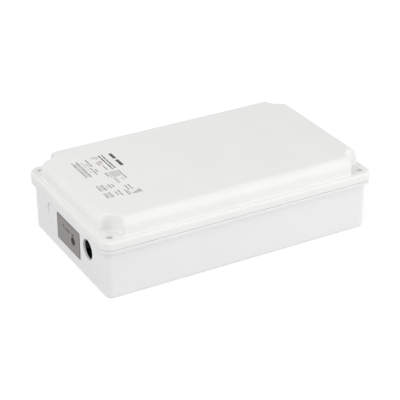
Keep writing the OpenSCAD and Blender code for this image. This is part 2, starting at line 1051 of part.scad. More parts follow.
module transformer_winding() {
    length = core_window_x - 2 * (2 * fit_gap + bobbin_flange_t);
    inner_y_size = core_y + 4 * fit_gap + 2 * bobbin_wall;
    inner_z_size = core_middle_leg + 4 * fit_gap + 2 * bobbin_wall;
    height = core_middle_leg + 2 * core_window_z - 2 * fit_gap;
    color("khaki")
        at_transformer()
            translate([0, 0, core_mid_z])
                along_x(length)
                    difference() {
                        rounded_rect(bobbin_y / 2 - winding_inset, height / 2, winding_corner_r);
                        square([inner_y_size, inner_z_size], center = true);
                    }
}

// The heatsink stands just in front of the board screw in the back corner
module at_heatsink() {
    screw_side = board_hole_inset + small_head_d / 2 + heatsink_screw_gap;
    translate([board_x1 - heatsink_edge, board_back - screw_side - heatsink_half_y, board_top])
        children();
}

// An extruded comb: a thick plate with fins on the side away from the transistor
module heatsink() {
    fin_step = (2 * heatsink_half_y - heatsink_fin_t) / (heatsink_fins - 1);
    color("lightgray")
        at_heatsink()
            difference() {
                linear_extrude(heatsink_h)
                    union() {
                        translate([0, -heatsink_half_y])
                            square([heatsink_plate_t, 2 * heatsink_half_y]);
                        for (fin = [0 : heatsink_fins - 1])
                            translate([0, fin * fin_step - heatsink_half_y])
                                square([heatsink_plate_t + heatsink_fin_length, heatsink_fin_t]);
                    }
                bar_x([-over, 0, transistor_hole_z], small_pilot_d / 2, heatsink_plate_t + 2 * over);
            }
}

module power_transistor() {
    color("black")
        at_heatsink()
            difference() {
                union() {
                    translate([0, 0, transistor_z]) {
                        block(-transistor_tab_t, 0, transistor_w, transistor_tab_h);
                        block(-transistor_body_t, 0, transistor_w, transistor_body_h);
                    }
                    for (leg = [-1, 0, 1])
                        translate([-transistor_body_t / 2, leg * transistor_leg_pitch, 0])
                            block(-transistor_leg_t / 2, transistor_leg_t / 2, transistor_leg_w,
                                transistor_z + over);
                }
                bar_x([-transistor_tab_t - over, 0, transistor_hole_z], small_pilot_d / 2,
                    transistor_tab_t + 2 * over);
            }
}

module transistor_screw() {
    color("silver")
        at_heatsink()
            translate([-transistor_tab_t, 0, transistor_hole_z])
                rotate([0, -90, 0])
                    pan_screw(small_screw_d, transistor_tab_t + heatsink_plate_t, small_head_d, small_head_h);
}

module output_capacitors() {
    color("darkslategray")
        for (place = output_cap_places)
            from_far_front(place.x, place.y)
                capacitor_can(output_cap_d, output_cap_h);
}

module output_inductor() {
    color("dimgray")
        from_back(inductor_x, inductor_y)
            rotate_extrude()
                difference() {
                    square([inductor_r, inductor_h]);
                    translate([inductor_waist_r, inductor_flange_t])
                        square([inductor_r, inductor_h - 2 * inductor_flange_t]);
                }
}

module control_chip() {
    color("black")
        from_back(chip_x, chip_y) {
            translate([0, 0, chip_lift])
                block(-chip_length / 2, chip_length / 2, chip_w, chip_t);
            for (pin = [0 : chip_pins - 1], side = [-1, 1])
                translate([(pin - (chip_pins - 1) / 2) * chip_pin_pitch, side * chip_pin_out, 0])
                    block(-chip_pin_w / 2, chip_pin_w / 2, chip_pin_length, chip_pin_h);
        }
}

module at_battery_socket() {
    from_far_front(socket_x, socket_place)
        children();
}

module battery_socket() {
    color("ivory")
        at_battery_socket()
            difference() {
                block(0, socket_x, socket_y, socket_z);
                translate([socket_back_t, 0, socket_wall])
                    block(0, socket_x, socket_y - 2 * socket_wall, socket_z - 2 * socket_wall);
            }
}

module battery_plug() {
    width = socket_y - 2 * socket_wall - 2 * fit_gap;
    height = socket_z - 2 * socket_wall - 2 * fit_gap;
    color("white")
        at_battery_socket()
            translate([0, 0, socket_wall + fit_gap])
                difference() {
                    block(socket_x - plug_in, socket_x + plug_out, width, height);
                    for (side = [-1, 1])
                        translate([socket_x + plug_groove_x, side * width / 2, -over])
                            linear_extrude(height + 2 * over)
                                square(plug_groove, center = true);
                }
}

module at_cells() {
    for (cell = [0 : cell_count - 1])
        translate([pack_x + (cell - (cell_count - 1) / 2) * cell_pitch, 0, pack_z])
            children();
}

// A cell lies along Y, with a crimped shoulder near one end
module battery_cells() {
    r = cell_d / 2;
    color("steelblue")
        at_cells()
            translate([0, cell_length / 2, 0])
                rotate([90, 0, 0])
                    rotate_extrude()
                        difference() {
                            soft_half_section(r, cell_length, cell_edge_r);
                            translate([r + cell_crimp_out, cell_length - cell_crimp_y])
                                circle(cell_crimp_r);
                        }
}

// Welded strips: two single ends and two links, so that the cells are in series
module battery_tabs() {
    color("silver")
        for (end = [-1, 1]) {
            translate([pack_x, end * (cell_length / 2 + tab_t / 2), pack_z]) {
                translate([end * cell_pitch, 0, 0])
                    cube([tab_length, tab_t, tab_w], center = true);
                translate([-end * cell_pitch / 2, 0, 0])
                    cube([cell_pitch + tab_w, tab_t, tab_w], center = true);
            }
        }
}

module pack_outline(r) {
    half = (cell_count - 1) * cell_pitch / 2;
    square([2 * half, 2 * r], center = true);
    for (side = [-1, 1])
        translate([side * half, 0])
            circle(r);
}

// A shrunk sleeve: open at both ends, with a lip turned in over the cells
module battery_sleeve() {
    color("royalblue")
        translate([pack_x, 0, pack_z])
            difference() {
                along_y(2 * pack_half_y)
                    pack_outline(sleeve_r);
                along_y(2 * (pack_half_y - sleeve_t))
                    pack_outline(sleeve_r - sleeve_t);
                along_y(2 * (pack_half_y + over))
                    pack_outline(sleeve_r - sleeve_lip);
            }
}

// A strap over the middle of the battery, screwed down at both feet
module battery_bracket() {
    top = pack_top + fit_gap;
    outer_y = bracket_inner_y + bracket_t;
    foot_y = outer_y + bracket_foot - bracket_t;
    color("gainsboro")
        difference() {
            translate([pack_x, 0, 0])
                along_x(bracket_w)
                    difference() {
                        union() {
                            translate([-outer_y, bracket_foot_z])
                                square([2 * outer_y, top + bracket_t - bracket_foot_z]);
                            translate([-foot_y, bracket_foot_z])
                                square([2 * foot_y, bracket_t]);
                        }
                        translate([-bracket_inner_y, 0])
                            square([2 * bracket_inner_y, top]);
                    }
            at_bracket_screws()
                translate([0, 0, bracket_foot_z - over])
                    cylinder(d = small_pilot_d, h = bracket_t + 2 * over);
        }
}

module bracket_screws() {
    color("silver")
        at_bracket_screws()
            translate([0, 0, bracket_foot_z + bracket_t])
                small_screw();
}

// Corner cutting: each pass replaces a corner by two points a quarter of the way along
function cut_corners(p) = concat(
    [p[0]],
    [for (i = [0 : len(p) - 2], k = [0.25, 0.75]) p[i] * (1 - k) + p[i + 1] * k],
    [p[len(p) - 1]]
);

function unit(v) = v / norm(v);

function ring_at(p, i, r, sides) =
    let (
        ahead = unit(p[min(i + 1, len(p) - 1)] - p[max(i - 1, 0)]),
        aside = unit(cross(ahead, [0.31, 0.17, 0.93])),
        upward = cross(aside, ahead)
    )
    [for (s = [0 : sides - 1]) p[i] + r * (cos(360 * s / sides) * aside + sin(360 * s / sides) * upward)];

// A flexible lead swept along its route
module lead(route, d) {
    sides = lead_sides;
    path = cut_corners(cut_corners(route));
    last = len(path) - 1;
    rings = [for (i = [0 : last]) each ring_at(path, i, d / 2, sides)];
    walls = [
        for (i = [0 : last - 1], s = [0 : sides - 1])
            let (here = i * sides, ahead = here + sides, next = (s + 1) % sides)
            [here + s, here + next, ahead + next, ahead + s]
    ];
    ends = [[for (s = [sides - 1 : -1 : 0]) s], [for (s = [0 : sides - 1]) last * sides + s]];
    polyhedron(rings, concat(walls, ends), convexity = 4);
}

module battery_lead_positive() {
    y = lead_mid_y - lead_pitch / 2;
    end_x = pack_x - cell_pitch;
    color("red")
        lead([
            [lead_start_x, y, lead_start_z], [lead_start_x + lead_straight, y, lead_start_z],
            [pack_edge_x - 1.8 * lead_slack, y - lead_slack, lead_start_z],
            [pack_edge_x - lead_slack, 0.8 * lead_slack - bracket_inner_y, pack_z],
            [pack_edge_x - 0.4 * lead_slack, -lead_clear_y, pack_z],
            [end_x, -lead_clear_y - 0.4 * lead_slack, pack_z],
            [end_x, -tab_face_y - lead_end, pack_z], [end_x, -tab_face_y, pack_z]
        ], lead_d);
}

module battery_lead_negative() {
    y = lead_mid_y + lead_pitch / 2;
    end_x = pack_x + cell_pitch;
    color("black")
        lead([
            [lead_start_x, y, lead_start_z], [lead_start_x + lead_straight, y, lead_start_z],
            [pack_edge_x - 1.4 * lead_slack, y + 2 * lead_slack, lead_start_z],
            [pack_edge_x - lead_slack, bracket_inner_y - 1.2 * lead_slack, pack_z],
            [pack_edge_x, lead_clear_y, pack_z], [pack_x - bracket_w, lead_clear_y, lead_over_z],
            [pack_x + bracket_w, lead_clear_y, lead_over_z],
            [end_x, lead_clear_y + 0.2 * lead_slack, pack_z],
            [end_x, tab_face_y + lead_end, pack_z], [end_x, tab_face_y, pack_z]
        ], lead_d);
}

module switch_leads() {
    start_x = switch_back_x + board_t + fit_gap;
    start_z = button_z - switch_board_h / 2 + signal_lead_edge;
    end_x = max(start_x, board_x0) + signal_lead_reach;
    color("gray")
        for (side = [-1, 1])
            let (y = button_y + side * signal_lead_y)
                lead([
                    [start_x, y, start_z], [start_x + signal_lead_reach / 2, y, start_z], [end_x, y, start_z],
                    [end_x, y, board_top + signal_lead_d], [end_x, y, board_top + fit_gap]
                ], signal_lead_d);
}

base();
lid();
lid_gasket();
lid_screws();
end_label();
test_button();
test_switch();
switch_board();
switch_board_screws();
switch_leads();
circuit_board();
board_screws();
mains_terminal();
lamp_terminal();
terminal_screws();
fuse_tube();
fuse_caps();
fuse_clips();
choke_core();
choke_coils();
film_capacitor();
bridge_rectifier();
bulk_capacitor();
transformer_core();
transformer_bobbin();
transformer_winding();
heatsink();
power_transistor();
transistor_screw();
output_capacitors();
output_inductor();
control_chip();
battery_socket();
battery_cells();
battery_tabs();
battery_sleeve();
battery_bracket();
bracket_screws();
battery_plug();
battery_lead_positive();
battery_lead_negative();
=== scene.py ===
# %% [markdown]
# # Emergency LED driver in a sealed wall box
# The real object is a white two-part plastic box, 220 mm long: a deep base and a lid with a raised
# plateau, held by four sunk screws. One end has a grey label with a flush test button and an open
# cable hole. The solids come from the frame, so every place and size below is in the frame's own
# axes. This lesson re-models the pieces that are seen and gives every other piece its finish.

# %% Load the frame and keep its box
import json
import math

import bmesh
import bpy
from mathutils import Matrix, Vector


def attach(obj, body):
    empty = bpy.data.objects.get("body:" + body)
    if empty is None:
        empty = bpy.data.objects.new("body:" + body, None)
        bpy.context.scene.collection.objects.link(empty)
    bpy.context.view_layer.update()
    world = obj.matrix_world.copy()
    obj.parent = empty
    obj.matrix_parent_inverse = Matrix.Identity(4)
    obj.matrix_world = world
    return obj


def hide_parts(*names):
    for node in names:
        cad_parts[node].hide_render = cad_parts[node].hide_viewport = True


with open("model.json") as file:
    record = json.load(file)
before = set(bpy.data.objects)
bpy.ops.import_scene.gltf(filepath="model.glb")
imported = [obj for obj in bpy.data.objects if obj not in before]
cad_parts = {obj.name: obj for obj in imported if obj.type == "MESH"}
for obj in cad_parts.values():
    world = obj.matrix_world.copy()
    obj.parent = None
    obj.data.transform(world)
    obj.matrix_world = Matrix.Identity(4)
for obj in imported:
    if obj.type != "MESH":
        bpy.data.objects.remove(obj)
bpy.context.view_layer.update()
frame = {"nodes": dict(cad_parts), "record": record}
MM = 0.001

# %% [markdown]
# ## Camera
# The picture is taken with a long lens, so the long edges of the box stay nearly parallel. A camera
# can be aimed with a constraint, but here its three axes are written straight into its matrix,
# because the place, the turn and the slight roll are known.

# %% Camera
VIEW_AZIMUTH = math.radians(-29.127)
VIEW_ELEVATION = math.radians(28.263)
VIEW_ROLL = math.radians(-0.151)
VIEW_PLACE = Vector((-454.68, -815.79, 523.05)) * MM
LENS = 128.09

away = Vector((
    math.sin(VIEW_AZIMUTH) * math.cos(VIEW_ELEVATION),
    -math.cos(VIEW_AZIMUTH) * math.cos(VIEW_ELEVATION),
    math.sin(VIEW_ELEVATION),
))
level_right = Vector((math.cos(VIEW_AZIMUTH), math.sin(VIEW_AZIMUTH), 0))
level_up = away.cross(level_right)
view_right = math.cos(VIEW_ROLL) * level_right + math.sin(VIEW_ROLL) * level_up
view_up = math.cos(VIEW_ROLL) * level_up - math.sin(VIEW_ROLL) * level_right
turn = Matrix((view_right, view_up, away)).transposed().to_4x4()

scene = bpy.context.scene
scene.view_settings.view_transform = "Standard"
camera_data = bpy.data.cameras.new("camera")
camera_data.lens = LENS
camera = bpy.data.objects.new("camera", camera_data)
camera.matrix_world = Matrix.Translation(VIEW_PLACE) @ turn
scene.collection.objects.link(camera)
scene.camera = camera
print("camera at", [round(value, 3) for value in VIEW_PLACE], "lens", LENS)

# %% [markdown]
# ## Floor, world and lamps
# A product picture on white needs a floor that is white for the eye and still takes the object's
# shadow. The floor mixes a little of its own light with a plain diffuse white, but only for what
# the camera sees directly, in a reflection or through glass. The world is white to the eye as well
# and a soft grey to the object. Five large lamps do the modelling, the strongest from low on the right.

# %% Helpers that keep the operators on one piece
def start_clean():
    """Back to object mode with nothing selected"""
    if bpy.context.mode != "OBJECT":
        bpy.ops.object.mode_set(mode="OBJECT")
    bpy.ops.object.select_all(action="DESELECT")


def take_up(*pieces):
    """Select these pieces, the first one active"""
    start_clean()
    for piece in pieces:
        piece.select_set(True)
    bpy.context.view_layer.objects.active = pieces[0]


def grey(level):
    """A neutral colour that covers fully"""
    return (level, level, level, 1)


def seen_by_eye(tree):
    """1 for rays from the camera, from a reflection or through glass"""
    path = tree.nodes.new("ShaderNodeLightPath")
    either = tree.nodes.new("ShaderNodeMath")
    either.operation = "MAXIMUM"
    tree.links.new(path.outputs["Is Camera Ray"], either.inputs[0])
    tree.links.new(path.outputs["Is Glossy Ray"], either.inputs[1])
    both = tree.nodes.new("ShaderNodeMath")
    both.operation = "MAXIMUM"
    tree.links.new(either.outputs[0], both.inputs[0])
    tree.links.new(path.outputs["Is Transmission Ray"], both.inputs[1])
    return both.outputs[0]


# %% Floor
FLOOR_HALF = 3.0
FLOOR_DROP = 0.0002
FLOOR_BOUNCE, FLOOR_SHADOW, FLOOR_GLOW = 0.72, 0.4, 0.66

start_clean()
bpy.ops.mesh.primitive_plane_add(size=2 * FLOOR_HALF, location=(0, 0, -FLOOR_DROP))
floor = bpy.context.object
floor.name = "floor"
floor_paint = bpy.data.materials.new("floor_white")
floor_paint.use_nodes = True
tree = floor_paint.node_tree
tree.nodes.clear()
surface = tree.nodes.new("ShaderNodeOutputMaterial")
bounce = tree.nodes.new("ShaderNodeBsdfDiffuse")
bounce.inputs["Color"].default_value = grey(FLOOR_BOUNCE)
shadow_part = tree.nodes.new("ShaderNodeBsdfDiffuse")
shadow_part.inputs["Color"].default_value = grey(FLOOR_SHADOW)
white_part = tree.nodes.new("ShaderNodeEmission")
white_part.inputs["Strength"].default_value = FLOOR_GLOW
shown = tree.nodes.new("ShaderNodeAddShader")
tree.links.new(shadow_part.outputs[0], shown.inputs[0])
tree.links.new(white_part.outputs[0], shown.inputs[1])
choice = tree.nodes.new("ShaderNodeMixShader")
tree.links.new(seen_by_eye(tree), choice.inputs[0])
tree.links.new(bounce.outputs[0], choice.inputs[1])
tree.links.new(shown.outputs[0], choice.inputs[2])
tree.links.new(choice.outputs[0], surface.inputs["Surface"])
floor.data.materials.append(floor_paint)
print("floor", 2 * FLOOR_HALF, "m square")

# %% World
ROOM_LEVEL = 0.557

world = bpy.data.worlds.new("studio")
scene.world = world
world.use_nodes = True
tree = world.node_tree
tree.nodes.clear()
surface = tree.nodes.new("ShaderNodeOutputWorld")
room = tree.nodes.new("ShaderNodeBackground")
room.inputs["Color"].default_value = grey(ROOM_LEVEL)
white = tree.nodes.new("ShaderNodeBackground")
white.inputs["Color"].default_value = grey(1)
choice = tree.nodes.new("ShaderNodeMixShader")
tree.links.new(seen_by_eye(tree), choice.inputs[0])
tree.links.new(room.outputs[0], choice.inputs[1])
tree.links.new(white.outputs[0], choice.inputs[2])
tree.links.new(choice.outputs[0], surface.inputs["Surface"])
print("room level", ROOM_LEVEL)

# %% Lamps
LAMP_AWAY, LAMP_SIZE = 1.5, 0.9
LAMP_AIM = Vector((0, 0, 0.03))


def softbox(name, azimuth, elevation, power):
    """A square lamp that faces the object, with its azimuth in degrees from the front towards +X"""
    azimuth, elevation = math.radians(azimuth), math.radians(elevation)
    level = math.cos(elevation)
    direction = Vector((level * math.sin(azimuth), -level * math.cos(azimuth), math.sin(elevation)))
    place = LAMP_AWAY * direction
    lamp_data = bpy.data.lights.new(name, "AREA")
    lamp_data.size = LAMP_SIZE
    lamp_data.energy = power
    lamp = bpy.data.objects.new(name, lamp_data)
    lamp.location = place
    lamp.rotation_euler = (LAMP_AIM - place).to_track_quat("-Z", "Y").to_euler()
    scene.collection.objects.link(lamp)


softbox("front_right_lamp", 40, 20, 10.1)
softbox("front_left_lamp", -40, 50, 2.2)
softbox("left_low_lamp", -80, 15, 3.0)
softbox("left_high_lamp", -80, 45, 4.6)
softbox("back_lamp", 180, 50, 2.1)

# %% [markdown]
# ## Base
# The base is an injection-moulded tray: straight walls, a lip round the mouth, and inside it the
# screw columns, standoffs and ribs that carry everything. By hand one would start from the lip as a
# bevelled block, inset its underside and pull the walls down from it, so that the corners of lip and
# wall stay concentric. The inside is one cutter, from which the columns are cut first, as the steel
# core of a mould has holes where the plastic flows in.

# %% Modelling helpers
# What counts as the same place, and how far a cutter stands out past what it cuts, in millimetres
NEAR = 0.01
SPARE = 1


def add_block(name, low, high):
    """A block between two corners in millimetres, with its place in its mesh"""
    start_clean()
    low, high = Vector(low) * MM, Vector(high) * MM
    bpy.ops.mesh.primitive_cube_add(size=1, location=(low + high) / 2)
    piece = bpy.context.object
    piece.name = name
    piece.scale = high - low
    bpy.ops.object.transform_apply(location=True, rotation=True, scale=True)
    return piece


def add_rod(name, start, end, radius, sides=48):
    """A round rod between two points in millimetres"""
    start_clean()
    start, end = Vector(start) * MM, Vector(end) * MM
    axis = end - start
    bpy.ops.mesh.primitive_cylinder_add(
        vertices=sides, radius=radius * MM, depth=axis.length, location=(start + end) / 2,
        rotation=axis.to_track_quat("Z", "Y").to_euler())
    piece = bpy.context.object
    piece.name = name
    bpy.ops.object.transform_apply(location=True, rotation=True, scale=True)
    return piece


def edit(piece):
    """Into edit mode on one piece"""
    take_up(piece)
    bpy.ops.object.mode_set(mode="EDIT")


def pick_edges(piece, test):
    """In edit mode, select the edges whose two ends, in millimetres, pass a test"""
    bpy.ops.mesh.select_mode(type="EDGE")
    bpy.ops.mesh.select_all(action="DESELECT")
    shape = bmesh.from_edit_mesh(piece.data)
    for edge in shape.edges:
        edge.select_set(test(edge.verts[0].co / MM, edge.verts[1].co / MM))
    bmesh.update_edit_mesh(piece.data)


def pick_faces(piece, test):
    """In edit mode, select the faces whose middle, in millimetres, and normal pass a test"""
    bpy.ops.mesh.select_mode(type="FACE")
    bpy.ops.mesh.select_all(action="DESELECT")
    shape = bmesh.from_edit_mesh(piece.data)
    for face in shape.faces:
        face.select_set(test(face.calc_center_median() / MM, face.normal))
    bmesh.update_edit_mesh(piece.data)


def push(x=0, y=0, z=0):
    """Extrude what is selected by a step in millimetres"""
    bpy.ops.mesh.extrude_region_move(TRANSFORM_OT_translate={"value": (x * MM, y * MM, z * MM)})


def soften(width, steps):
    """Bevel the selected edges, width in millimetres"""
    bpy.ops.mesh.bevel(offset=width * MM, segments=steps, affect="EDGES", profile=0.5)


def upright(a, b):
    """A test for edges that stand upright"""
    return abs(a.x - b.x) < NEAR and abs(a.y - b.y) < NEAR


def level_at(height):
    """A test for edges that lie at one height"""
    return lambda a, b: abs(a.z - height) < NEAR and abs(b.z - height) < NEAR


def join(pieces, name):
    """Make one piece of several"""
    take_up(*pieces)
    if len(pieces) > 1:
        bpy.ops.object.join()
    pieces[0].name = name
    return pieces[0]


def carve(piece, tool):
    """Cut a tool away from a piece and remove the tool"""
    cut = piece.modifiers.new("cut", "BOOLEAN")
    cut.operation = "DIFFERENCE"
    cut.solver = "EXACT"
    cut.object = tool
    take_up(piece)
    bpy.ops.object.modifier_apply(modifier=cut.name)
    bpy.data.objects.remove(tool)


def finish_shading(piece, degrees=32):
    """Smooth shading up to an angle, with normals that keep flat faces flat"""
    take_up(piece)
    bpy.ops.object.shade_smooth_by_angle(angle=math.radians(degrees))
    even = piece.modifiers.new("even", "WEIGHTED_NORMAL")
    even.keep_sharp = True
    bpy.ops.object.modifier_apply(modifier=even.name)


CORNERS = [(1, 1), (-1, 1), (-1, -1), (1, -1)]

# %% Base walls, lip and soft edges
HALF_L, HALF_W = 110, 65
JOINT_Z = 39.2
LIP_Z = 36.6
RIM_CORNER_R = 8.5
OVERHANG = 3.2
WALL = 2.5
WALL_X, WALL_Y = HALF_L - OVERHANG, HALF_W - OVERHANG
BOTTOM_EDGE, LIP_INNER_EDGE, LIP_OUTER_EDGE, JOINT_EDGE = 1.5, 0.5, 0.4, 0.3


def ring_at(height, inset):
    """A test for edges at one height that run round the box, inset from the rim's edge"""
    def on_ring(point):
        x = abs(point.x) - (HALF_L - RIM_CORNER_R)
        y = abs(point.y) - (HALF_W - RIM_CORNER_R)
        outside = math.hypot(max(x, 0), max(y, 0)) + min(max(x, y), 0) - RIM_CORNER_R
        return abs(outside + inset) < 5 * NEAR and abs(point.z - height) < NEAR
    return lambda a, b: on_ring(a) and on_ring(b)


base_shell = add_block("base_shell", (-HALF_L, -HALF_W, LIP_Z), (HALF_L, HALF_W, JOINT_Z))
edit(base_shell)
pick_edges(base_shell, upright)
soften(RIM_CORNER_R, 12)
pick_faces(base_shell, lambda middle, normal: normal.z < -0.9)
bpy.ops.mesh.inset(thickness=OVERHANG * MM)
push(z=-LIP_Z)
pick_edges(base_shell, level_at(0))
soften(BOTTOM_EDGE, 5)
pick_edges(base_shell, ring_at(LIP_Z, OVERHANG))
soften(LIP_INNER_EDGE, 3)
pick_edges(base_shell, ring_at(LIP_Z, 0))
soften(LIP_OUTER_EDGE, 3)
pick_edges(base_shell, level_at(JOINT_Z))
soften(JOINT_EDGE, 3)
start_clean()
print("base outside:", len(base_shell.data.polygons), "faces")

# %% Base inside: a core with holes for the columns, standoffs, posts and ribs
FLOOR_T = 2.5
CORE_TOP = JOINT_Z + 6
INNER_X, INNER_Y = WALL_X - WALL, WALL_Y - WALL
SCREW_X, SCREW_Y = 102, 57
BOARD_SCREWS = [(x, y) for x in (-92, 12) for y in (-41, 41)]
STRAP_SCREWS = [(72.65, y) for y in (-40.8, 40.8)]
FIXINGS = [(80 * sx, 53 * sy) for sx, sy in CORNERS]
BUTTON_Y, BUTTON_Z = -6.8, 19.1
POST_AWAY = 8.6
SWITCH_POSTS = [BUTTON_Y - POST_AWAY, BUTTON_Y + POST_AWAY]
SWITCH_BACK_X = -95.0
COLUMN_R, POST_R = 4.4, 2.6
STANDOFF_R, STANDOFF_TOP = 3.3, 8.5
FIXING_COLLAR_R, FIXING_COLLAR_TOP = 4.65, 4.5
RIBS_X, RIB_HALF_T, RIB_HALF_W, RIB_TOP = (43.2, 102.1), 1, 19.5, 7.5
CAP_COLUMN_R, CAP_COLUMN_H = 8.6, 4
FLOOR_EDGE = 0.8
STANDOFFS = BOARD_SCREWS + STRAP_SCREWS
LID_SCREWS = [(SCREW_X * sx, SCREW_Y * sy) for sx, sy in CORNERS]

core = add_block("core", (-INNER_X, -INNER_Y, FLOOR_T), (INNER_X, INNER_Y, CORE_TOP))
edit(core)
pick_edges(core, upright)
soften(RIM_CORNER_R - OVERHANG - WALL, 6)
pick_edges(core, level_at(FLOOR_T))
soften(FLOOR_EDGE, 3)
columns = [add_rod("column", (x, y, 0), (x, y, CORE_TOP + SPARE), COLUMN_R) for x, y in LID_SCREWS]
columns += [add_rod("standoff", (x, y, 0), (x, y, STANDOFF_TOP), STANDOFF_R, 32) for x, y in STANDOFFS]
columns += [add_rod("collar", (x, y, 0), (x, y, FIXING_COLLAR_TOP), FIXING_COLLAR_R, 32) for x, y in FIXINGS]
columns += [add_rod("post", (-WALL_X, y, BUTTON_Z), (SWITCH_BACK_X, y, BUTTON_Z), POST_R, 32)
            for y in SWITCH_POSTS]
columns += [add_block("rib", (x - RIB_HALF_T, -RIB_HALF_W, 0), (x + RIB_HALF_T, RIB_HALF_W, RIB_TOP))
            for x in RIBS_X]
carve(core, join(columns, "columns"))
caps = [add_rod("cap", (x, y, JOINT_Z - CAP_COLUMN_H), (x, y, CORE_TOP + SPARE), CAP_COLUMN_R)
        for x, y in LID_SCREWS]
carve(core, join(caps, "caps"))
carve(base_shell, core)
print("base with its inside:", len(base_shell.data.polygons), "faces")

# %% [markdown]
# The holes come last, each from a cutter that is a little wider at the outer face, because a moulded
# hole has a small broken edge that catches the light. The wall is thinned from inside round the cable
# hole, and round a second cable place that is only a shallow recess, which the fitter can knock out.

# %% Holes in the base
ENTRY_Y, ENTRY_Z, ENTRY_R = 30.4, 24.2, 7.6
ENTRY_WALL, ENTRY_RELIEF = 1.9, 1.6
ENTRY_FLARE, SMALL_FLARE = 0.35, 0.1
KNOCKOUT_DEPTH = 0.9
BUTTON_HOLE_R = 3.3
PILOT_R, LID_PILOT_R, FIXING_R = 1.4, 1.3, 2.25
LID_PILOT_Z = 24
SWITCH_PILOT_L = 6
OVERCUT = 1.5


def end_cutter(name, y, z, radius, flare, depth):
    """A rod into the cable end with a flared outer end"""
    tool = add_rod(name, (-WALL_X + flare, y, z), (-WALL_X + depth, y, z), radius, 64)
    edit(tool)
    pick_faces(tool, lambda middle, normal: normal.x < -0.9)
    push(x=-flare)
    grow = 1 + flare / radius
    bpy.ops.transform.resize(value=(1, grow, grow))
    push(x=-SPARE)
    start_clean()
    return tool


relief_r = ENTRY_R + ENTRY_RELIEF
reliefs = [add_rod("relief", (-WALL_X + ENTRY_WALL, y, ENTRY_Z), (-INNER_X + SPARE, y, ENTRY_Z), relief_r, 64)
           for y in (-ENTRY_Y, ENTRY_Y)]
carve(base_shell, join(reliefs, "reliefs"))
holes = [
    end_cutter("cable_hole", -ENTRY_Y, ENTRY_Z, ENTRY_R, ENTRY_FLARE, WALL + SPARE),
    end_cutter("knockout", ENTRY_Y, ENTRY_Z, ENTRY_R, SMALL_FLARE, KNOCKOUT_DEPTH),
    end_cutter("button_hole", BUTTON_Y, BUTTON_Z, BUTTON_HOLE_R, SMALL_FLARE, WALL + SPARE),
]
holes += [add_rod("fixing", (x, y, -SPARE), (x, y, FIXING_COLLAR_TOP + OVERCUT), FIXING_R, 32)
          for x, y in FIXINGS]
holes += [add_rod("pilot", (x, y, FLOOR_T), (x, y, STANDOFF_TOP + OVERCUT), PILOT_R, 24)
          for x, y in STANDOFFS]
holes += [add_rod("pilot", (x, y, LID_PILOT_Z), (x, y, CORE_TOP), LID_PILOT_R) for x, y in LID_SCREWS]
pilot_from, pilot_to = SWITCH_BACK_X - SWITCH_PILOT_L, SWITCH_BACK_X + SPARE
holes += [add_rod("pilot", (pilot_from, y, BUTTON_Z), (pilot_to, y, BUTTON_Z), PILOT_R, 24)
          for y in SWITCH_POSTS]
carve(base_shell, join(holes, "holes"))
finish_shading(base_shell)
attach(base_shell, "housing")
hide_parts("base")
print("base_shell:", len(base_shell.data.polygons), "faces")

# %% [markdown]
# A short dark sleeve sits on each post of the small switch board. The sleeves are painted shade: the
# posts are seen through the cable hole, in the shaded inside of the box, and the dark sleeves stand in
# for that shade. A sleeve could be inset and bridged from face to face. Here a thinner rod is cut out of
# a rod, and the rims are bevelled. One is made and copied, because both posts are alike.

# %% Sleeves on the switch posts, dark as painted shade
SHADE_SLEEVE_R, SHADE_SLEEVE_BORE_R = 3.0, 2.7
SHADE_SLEEVE_FROM, SHADE_SLEEVE_TO = -INNER_X + 0.2, SWITCH_BACK_X - 0.4
SHADE_SLEEVE_EDGE = 0.1
first_y, second_y = SWITCH_POSTS

# Painted shade: the dark sleeves cover the posts where they are seen through the cable hole
shade_sleeve = add_rod("post_shade_sleeves", (SHADE_SLEEVE_FROM, first_y, BUTTON_Z), (SHADE_SLEEVE_TO, first_y, BUTTON_Z), SHADE_SLEEVE_R)
bore = add_rod("bore", (SHADE_SLEEVE_FROM - SPARE, first_y, BUTTON_Z), (SHADE_SLEEVE_TO + SPARE, first_y, BUTTON_Z),
               SHADE_SLEEVE_BORE_R)
carve(shade_sleeve, bore)
edit(shade_sleeve)
pick_edges(shade_sleeve, lambda a, b: abs(a.x - b.x) < NEAR)
soften(SHADE_SLEEVE_EDGE, 2)
take_up(shade_sleeve)
bpy.ops.object.duplicate()
second_shade_sleeve = bpy.context.object
second_shade_sleeve.location = (0, (second_y - first_y) * MM, 0)
bpy.ops.object.transform_apply(location=True, rotation=True, scale=True)
shade_sleeve = join([shade_sleeve, second_shade_sleeve], "post_shade_sleeves")
finish_shading(shade_sleeve)
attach(shade_sleeve, "housing")
print("post_shade_sleeves:", len(shade_sleeve.data.polygons), "faces")

# %% [markdown]
# ## Lid
# The lid is one thin moulding: a rim with a rounded edge, a narrow shelf, a plateau with nearly upright
# sides and a well rounded edge, and a notch round each screw. Cutting the notches from a bevelled block
# leaves edges that no bevel can follow evenly. So the lid is drawn as a ring of points, extruded from
# level to level, up the inside of the plateau, down to the joint, round the rim and up the outside.
# Each level is either a rounded rectangle or a rectangle whose corners are scooped out round the
# screws, with the same number of points, so that every face between two levels is a clean quad.

# %% Outlines of the lid
SIDE_STEPS, FILLET_STEPS, NOTCH_STEPS = 5, 5, 18
CORNER_STEPS = 2 * FILLET_STEPS + NOTCH_STEPS


def arc(centre, radius, start, end, steps):
    """Points on an arc, without the last one, angles in radians"""
    angles = [start + (end - start) * i / steps for i in range(steps)]
    return [(centre[0] + radius * math.cos(a), centre[1] + radius * math.sin(a)) for a in angles]


def all_quarters(quarter):
    """The whole ring from the quarter that runs from +X to +Y, its last point on the Y axis"""
    half = quarter[:-1] + [(-x, y) for x, y in reversed(quarter)][:-1]
    return half + [(-x, -y) for x, y in half]


def side_points(x, y0, y1):
    """Even points up one side, without the last one"""
    return [(x, y0 + (y1 - y0) * i / SIDE_STEPS) for i in range(SIDE_STEPS)]


